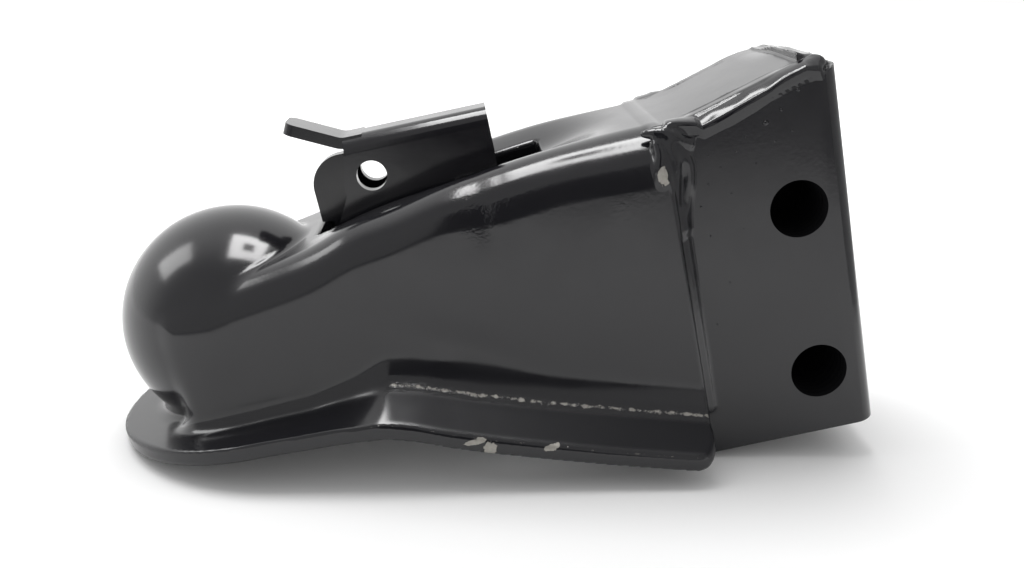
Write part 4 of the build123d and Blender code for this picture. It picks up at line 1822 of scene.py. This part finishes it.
@dataclass(frozen=True)
class Studio:
    """Floor, light and camera."""

    floor_x: float = -42.0
    floor_z: float = -27.0
    floor_slope: float = -0.225
    floor_reach: float = 3000.0
    camera_place: Point = (0.0912605, -0.3143776, 0.0947365)
    camera_turn: tuple[Point, Point, Point] = ((0.97833141, 0.20639117, 0.01644204),
                                               (-0.04918006, 0.30879221, -0.9498572),
                                               (-0.20111931, 0.92846651, 0.31225145))
    focal_pixels: float = 1048.1442
    image_width: float = 1024.0
    sensor_width: float = 36.0
    clip: Pair = (0.01, 50.0)
    up: Point = (0.2195, 0.0, 0.9756)
    paper_tone: float = 0.88
    paper_rough: float = 0.8
    paper_fade: float = 0.30
    paper_shade: float = 0.8
    paper_centre: Point = (0.07, 0.0, -0.05)
    near_span: Pair = (0.11, 0.26)
    far_span: Pair = (0.3, 0.8)
    # Where the gloss-only painted shade on the paper starts, and how strongly the paper glows as painted
    # light near the part, part way out and far off.
    paper_front: float = 0.33
    paper_near: float = 0.03
    paper_middle: float = 0.22
    paper_far: float = 0.35
    wall_light: float = 1.35
    wall_span: Pair = (-0.25, 0.40)
    right_dim: float = 0.45
    right_span: Pair = (0.45, 0.95)
    front_light: float = 0.62
    ceiling_light: float = 1.35
    ceiling_span: Pair = (0.55, 0.85)
    front_ceiling: float = 0.55
    roof_span: Pair = (-0.30, 0.35)
    front_tone: float = 0.01
    front_card: tuple[Point, ...] = ((0.020, -0.40, -0.080), (0.200, -0.40, -0.080), (0.200, -0.40, 0.330),
                                     (0.020, -0.40, 0.330))
    right_tone: float = 0.45
    right_card: tuple[Point, ...] = ((0.42, -0.30, -0.16), (0.42, 0.55, -0.16), (0.42, 0.55, 0.30),
                                     (0.42, -0.30, 0.30))
    ring_middle: Point = (0.129, 0.0, 0.300)
    ring_half: float = 0.081
    ring_hole: float = 0.025
    ring_light: float = 14.0

    def floor(self) -> None:
        """A pale floor under the part as it lies."""
        corners = []
        for x, y in ((-1, -1), (1, -1), (1, 1), (-1, 1)):
            along = x * self.floor_reach
            corners.append((along * MILLIMETRE, y * self.floor_reach * MILLIMETRE,
                            (self.floor_z + self.floor_slope * (along - self.floor_x)) * MILLIMETRE))
        mesh = bpy.data.meshes.new("studio_floor")
        mesh.from_pydata(corners, [], [(0, 1, 2, 3)])
        mesh.materials.append(self.floor_finish())
        floor = add_object("studio_floor", mesh)

    def floor_finish(self) -> bpy.types.Material:
        """White paper with painted light and shade: its front is darker only where the gloss sees it, and it
        glows for the camera and the gloss, more the further it lies from the part.

        Returns:
            The material.
        """
        material = bpy.data.materials.new("white_paper")
        material.use_nodes = True
        bench = NodeBench(material.node_tree)
        shader = material.node_tree.nodes["Principled BSDF"]
        shader.inputs["Roughness"].default_value = self.paper_rough
        shader.inputs["Specular IOR Level"].default_value = 0.0
        where = bench.add("ShaderNodeTexCoord").outputs["Object"]
        rays = bench.add("ShaderNodeLightPath")
        parts = bench.add("ShaderNodeSeparateXYZ")
        bench.link(where, parts.inputs["Vector"])
        # Painted shade: towards the viewer the paper is darkened, for gloss rays only.
        fade_end = -self.paper_front - self.paper_fade
        front = bench.span(parts.outputs["Y"], -self.paper_front, fade_end, 0.0, self.paper_shade)
        shade = bench.math("MULTIPLY", front, rays.outputs["Is Glossy Ray"])
        light = bench.math("SUBTRACT", 1.0, shade)
        tone = bench.math("MULTIPLY", light, self.paper_tone)
        bench.link(bench.grey(tone), shader.inputs["Base Color"])
        # Painted light: the paper glows for camera and gloss rays, faintly near the part and more further
        # off, so the shadow under the part stays.
        away = bench.vector("DISTANCE", where, self.paper_centre).outputs["Value"]
        painted_glow = bench.math("ADD", bench.span(away, *self.near_span, self.paper_near, self.paper_middle),
                          bench.span(away, *self.far_span, 0.0, self.paper_far))
        seen = bench.math("MAXIMUM", rays.outputs["Is Camera Ray"], rays.outputs["Is Glossy Ray"])
        painted_glow = bench.math("MULTIPLY", bench.math("MULTIPLY", painted_glow, seen), light)
        bench.link(bench.grey(painted_glow), shader.inputs["Emission Color"])
        shader.inputs["Emission Strength"].default_value = 1.0
        return material

    def world(self) -> None:
        """White walls behind and beside, a grey ceiling, and a dim front."""
        world = bpy.data.worlds.new("light_tent")
        bpy.context.scene.world = world
        world.use_nodes = True
        bench = NodeBench(world.node_tree)
        background = world.node_tree.nodes["Background"]
        where = bench.add("ShaderNodeTexCoord").outputs["Generated"]
        front = bench.vector("DOT_PRODUCT", where, (0.0, -1.0, 0.0)).outputs["Value"]
        up = bench.vector("DOT_PRODUCT", where, self.up).outputs["Value"]
        walls = bench.span(front, *self.wall_span, self.wall_light, self.front_light)
        right = bench.vector("DOT_PRODUCT", where, (1.0, 0.0, 0.0)).outputs["Value"]
        walls = bench.math("MULTIPLY", walls, bench.span(right, *self.right_span, 1.0, 1.0 - self.right_dim))
        roof = bench.span(front, *self.roof_span, self.ceiling_light, self.front_ceiling)
        ceiling = bench.span(up, *self.ceiling_span, 0.0, 1.0)
        level = bench.math("ADD", bench.math("MULTIPLY", walls, bench.math("SUBTRACT", 1.0, ceiling)),
                           bench.math("MULTIPLY", ceiling, roof))
        seen = bench.add("ShaderNodeLightPath").outputs["Is Camera Ray"]
        level = bench.math("ADD", bench.math("MULTIPLY", level, bench.math("SUBTRACT", 1.0, seen)), seen)
        bench.link(level, background.inputs["Strength"])
        background.inputs["Color"].default_value = (1.0, 1.0, 1.0, 1.0)

    def lamp(self, name: str, spot: Vector, facing: Vector, size: Pair, light: float) -> bpy.types.Object:
        """A soft area lamp.

        Args:
            name: Its name.
            spot: Its place in metres.
            facing: The direction that it shines in.
            size: Its sides in metres, the second one across the part.
            light: Its brightness, where 1 is white.

        Returns:
            The lamp.
        """
        data = bpy.data.lights.new(name, "AREA")
        data.shape = "RECTANGLE"
        data.size, data.size_y = size
        data.energy = light * math.pi * size[0] * size[1]
        lamp = add_object(name, data)
        lamp.location = spot
        lamp.rotation_mode = "QUATERNION"
        up = -facing.normalized()
        along = Vector((0.0, 1.0, 0.0)).cross(up).normalized()
        turn = Matrix((along, up.cross(along), up)).transposed()
        lamp.rotation_quaternion = turn.to_quaternion()
        lamp.visible_camera = False
        return lamp

    def ring(self) -> None:
        """The square lamp with a dark middle overhead, as the gloss shows it."""
        down = -Vector(self.up)
        along = Vector((self.up[2], 0.0, -self.up[0]))
        across = Vector((0.0, 1.0, 0.0))
        middle = Vector(self.ring_middle)
        away = (self.ring_half + self.ring_hole) / 2.0
        bar = self.ring_half - self.ring_hole
        for word, offset, size in (("right", across * away, (2.0 * self.ring_half, bar)),
                                   ("left", across * -away, (2.0 * self.ring_half, bar)),
                                   ("rear", along * away, (bar, 2.0 * self.ring_hole)),
                                   ("front", along * -away, (bar, 2.0 * self.ring_hole))):
            lamp = self.lamp(f"ring_{word}", middle + offset, down, size, self.ring_light)
            lamp.visible_diffuse = False

    def card(self, name: str, corners: Sequence[Point], tone: float) -> None:
        """A card outside the view, which only the gloss shows.

        Args:
            name: Its name.
            corners: Its four corners in metres.
            tone: How pale it is.
        """
        mesh = bpy.data.meshes.new(name)
        mesh.from_pydata(corners, [], [(0, 1, 2, 3)])
        material = bpy.data.materials.new(name)
        material.use_nodes = True
        shader = material.node_tree.nodes["Principled BSDF"]
        shader.inputs["Base Color"].default_value = (tone, tone, tone, 1.0)
        shader.inputs["Roughness"].default_value = 1.0
        mesh.materials.append(material)
        card = add_object(name, mesh)
        card.visible_camera = False
        card.visible_diffuse = False
        card.visible_shadow = False

    def camera(self) -> None:
        """The camera at the photograph's place."""
        data = bpy.data.cameras.new("camera")
        data.sensor_width = self.sensor_width
        data.lens = self.focal_pixels * data.sensor_width / self.image_width
        data.clip_start, data.clip_end = self.clip
        camera = add_object("camera", data)
        camera.matrix_world = Matrix.Translation(self.camera_place) @ Matrix(self.camera_turn).to_4x4()
        bpy.context.scene.camera = camera

    def build(self) -> None:
        """Set the stage, the light and the camera."""
        bpy.context.scene.view_settings.view_transform = "Standard"
        self.floor()
        self.world()
        self.ring()
        self.card("front_card", self.front_card, self.front_tone)
        self.card("right_card", self.right_card, self.right_tone)
        panel = self.lamp("left_panel", spot=Vector((-0.153, 0.007, 0.227)),
                          facing=Vector((0.56, -0.03, -0.83)), size=(0.13, 0.10), light=5.0)
        panel.visible_diffuse = False
        top = self.lamp("top_fill", spot=Vector((0.05, 0.15, 0.9)), facing=Vector((0.02, -0.15, -0.9)),
                        size=(0.7, 0.5), light=4.4)
        top.visible_glossy = False
        self.camera()


@dataclass
class CouplingHead:
    """The whole part: its finishes and its sub-assemblies, built in order."""

    shop: FinishShop = field(default_factory=FinishShop)
    chips: tuple[Chip, ...] = (
        Chip((67.4, -49.3, -35.6), (3.4, 2.0, 0.9)),
        Chip((71.1, -48.7, -38.8), (1.9, 2.6, 2.6)),
        Chip((88.2, -49.3, -42.2), (2.5, 2.0, 0.9)),
        Chip((133.1, -34.3, 24.0), (1.5, 3.0, 2.9)),
    )

    def build(self) -> None:
        """Make each sub-assembly and dress it."""
        # The pressing's enamel carries rubbed edges, chips and the painted highlight along the flange's foot.
        enamel = self.shop.enamel(Enamel("black_enamel", worn_and_highlit=True, chips=self.chips))
        weld_enamel = self.shop.enamel(Enamel("weld_enamel", peel=0.25, waves=0.7, gloss_low=0.11,
                                              gloss_high=0.18, chips=self.chips[3:]))
        plain = self.shop.enamel(Enamel("plain_enamel"))
        # Painted shade: the bores' enamel gives back no reflection at all, so the bores read dark.
        bore = self.shop.enamel(Enamel("shaded_bore_enamel", colour=(0.010, 0.010, 0.011), peel=0.5, gloss_low=0.6,
                                       gloss_high=0.8, grooves=2.0, shine=0.0))
        iron = self.shop.bare(BareMetal("dark_iron", light=(0.09, 0.088, 0.085), dark=(0.03, 0.03, 0.03),
                                        metallic=0.7, roughness=0.5, grain=500.0, depth=0.00012))
        zinc = self.shop.bare(BareMetal("zinc_plate", light=(0.62, 0.61, 0.57), dark=(0.4, 0.39, 0.36),
                                        metallic=0.95, roughness=0.36, grain=700.0, depth=0.00003))
        shell = CouplerShell()
        shell.build(enamel)
        bracket = BracketForm()
        PlainPiece("channel_bracket", Body.HEAD, Slot.ENAMEL, EdgeWork(width=0.7, reshape=bracket.tighten),
                   bracket.bores).build(plain, bore)
        Welds(shell, bracket).build(weld_enamel)
        PlainPiece("latch_lever", Body.LEVER, Slot.ENAMEL, EdgeWork(width=0.7, fold=2.2)).build(plain)
        PlainPiece("trigger", Body.TRIGGER, Slot.ENAMEL, EdgeWork(width=0.4)).build(plain)
        self.dress({"lever_pivot_pin": plain, "hinge_lug_left": plain, "hinge_lug_right": plain,
                    "fulcrum_bar": plain, "trigger_pin": plain, "stem_pin": plain, "bolt_sleeve_upper": bore,
                    "bolt_sleeve_lower": bore, "ball_clamp": iron, "clamp_stem": zinc, "spring_washer": zinc,
                    "seat_washer": zinc, "adjusting_nut": zinc})
        springs = spring_tree()
        CoilSpring("clamp_spring", Body.STEM, radius=6.0, height=8.1, turns=3.0, wire=1.0,
                   foot=(77.088, 0.0, -9.3)).build(springs, zinc)
        CoilSpring("trigger_spring", Body.LEVER, radius=2.05, height=1.47, turns=2.0, wire=0.4,
                   foot=(47.6, -3.2, 41.8), turn=(math.pi / 2.0, 0.0, 0.0)).build(springs, zinc)

    def dress(self, finishes: dict[str, bpy.types.Material]) -> None:
        """Give solids that keep their own mesh a finish.

        Args:
            finishes: Material for each solid's name.
        """
        for node, finish in finishes.items():
            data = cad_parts[node].data
            data.materials.clear()
            data.materials.append(finish)
            log.info("%s: dressed in %s", node, finish.name)


def main() -> None:
    """Build the part and the studio."""
    logging.basicConfig(level=logging.INFO, format="%(name)s %(message)s")
    CouplingHead().build()
    Studio().build()


if __name__ == "__main__":
    main()
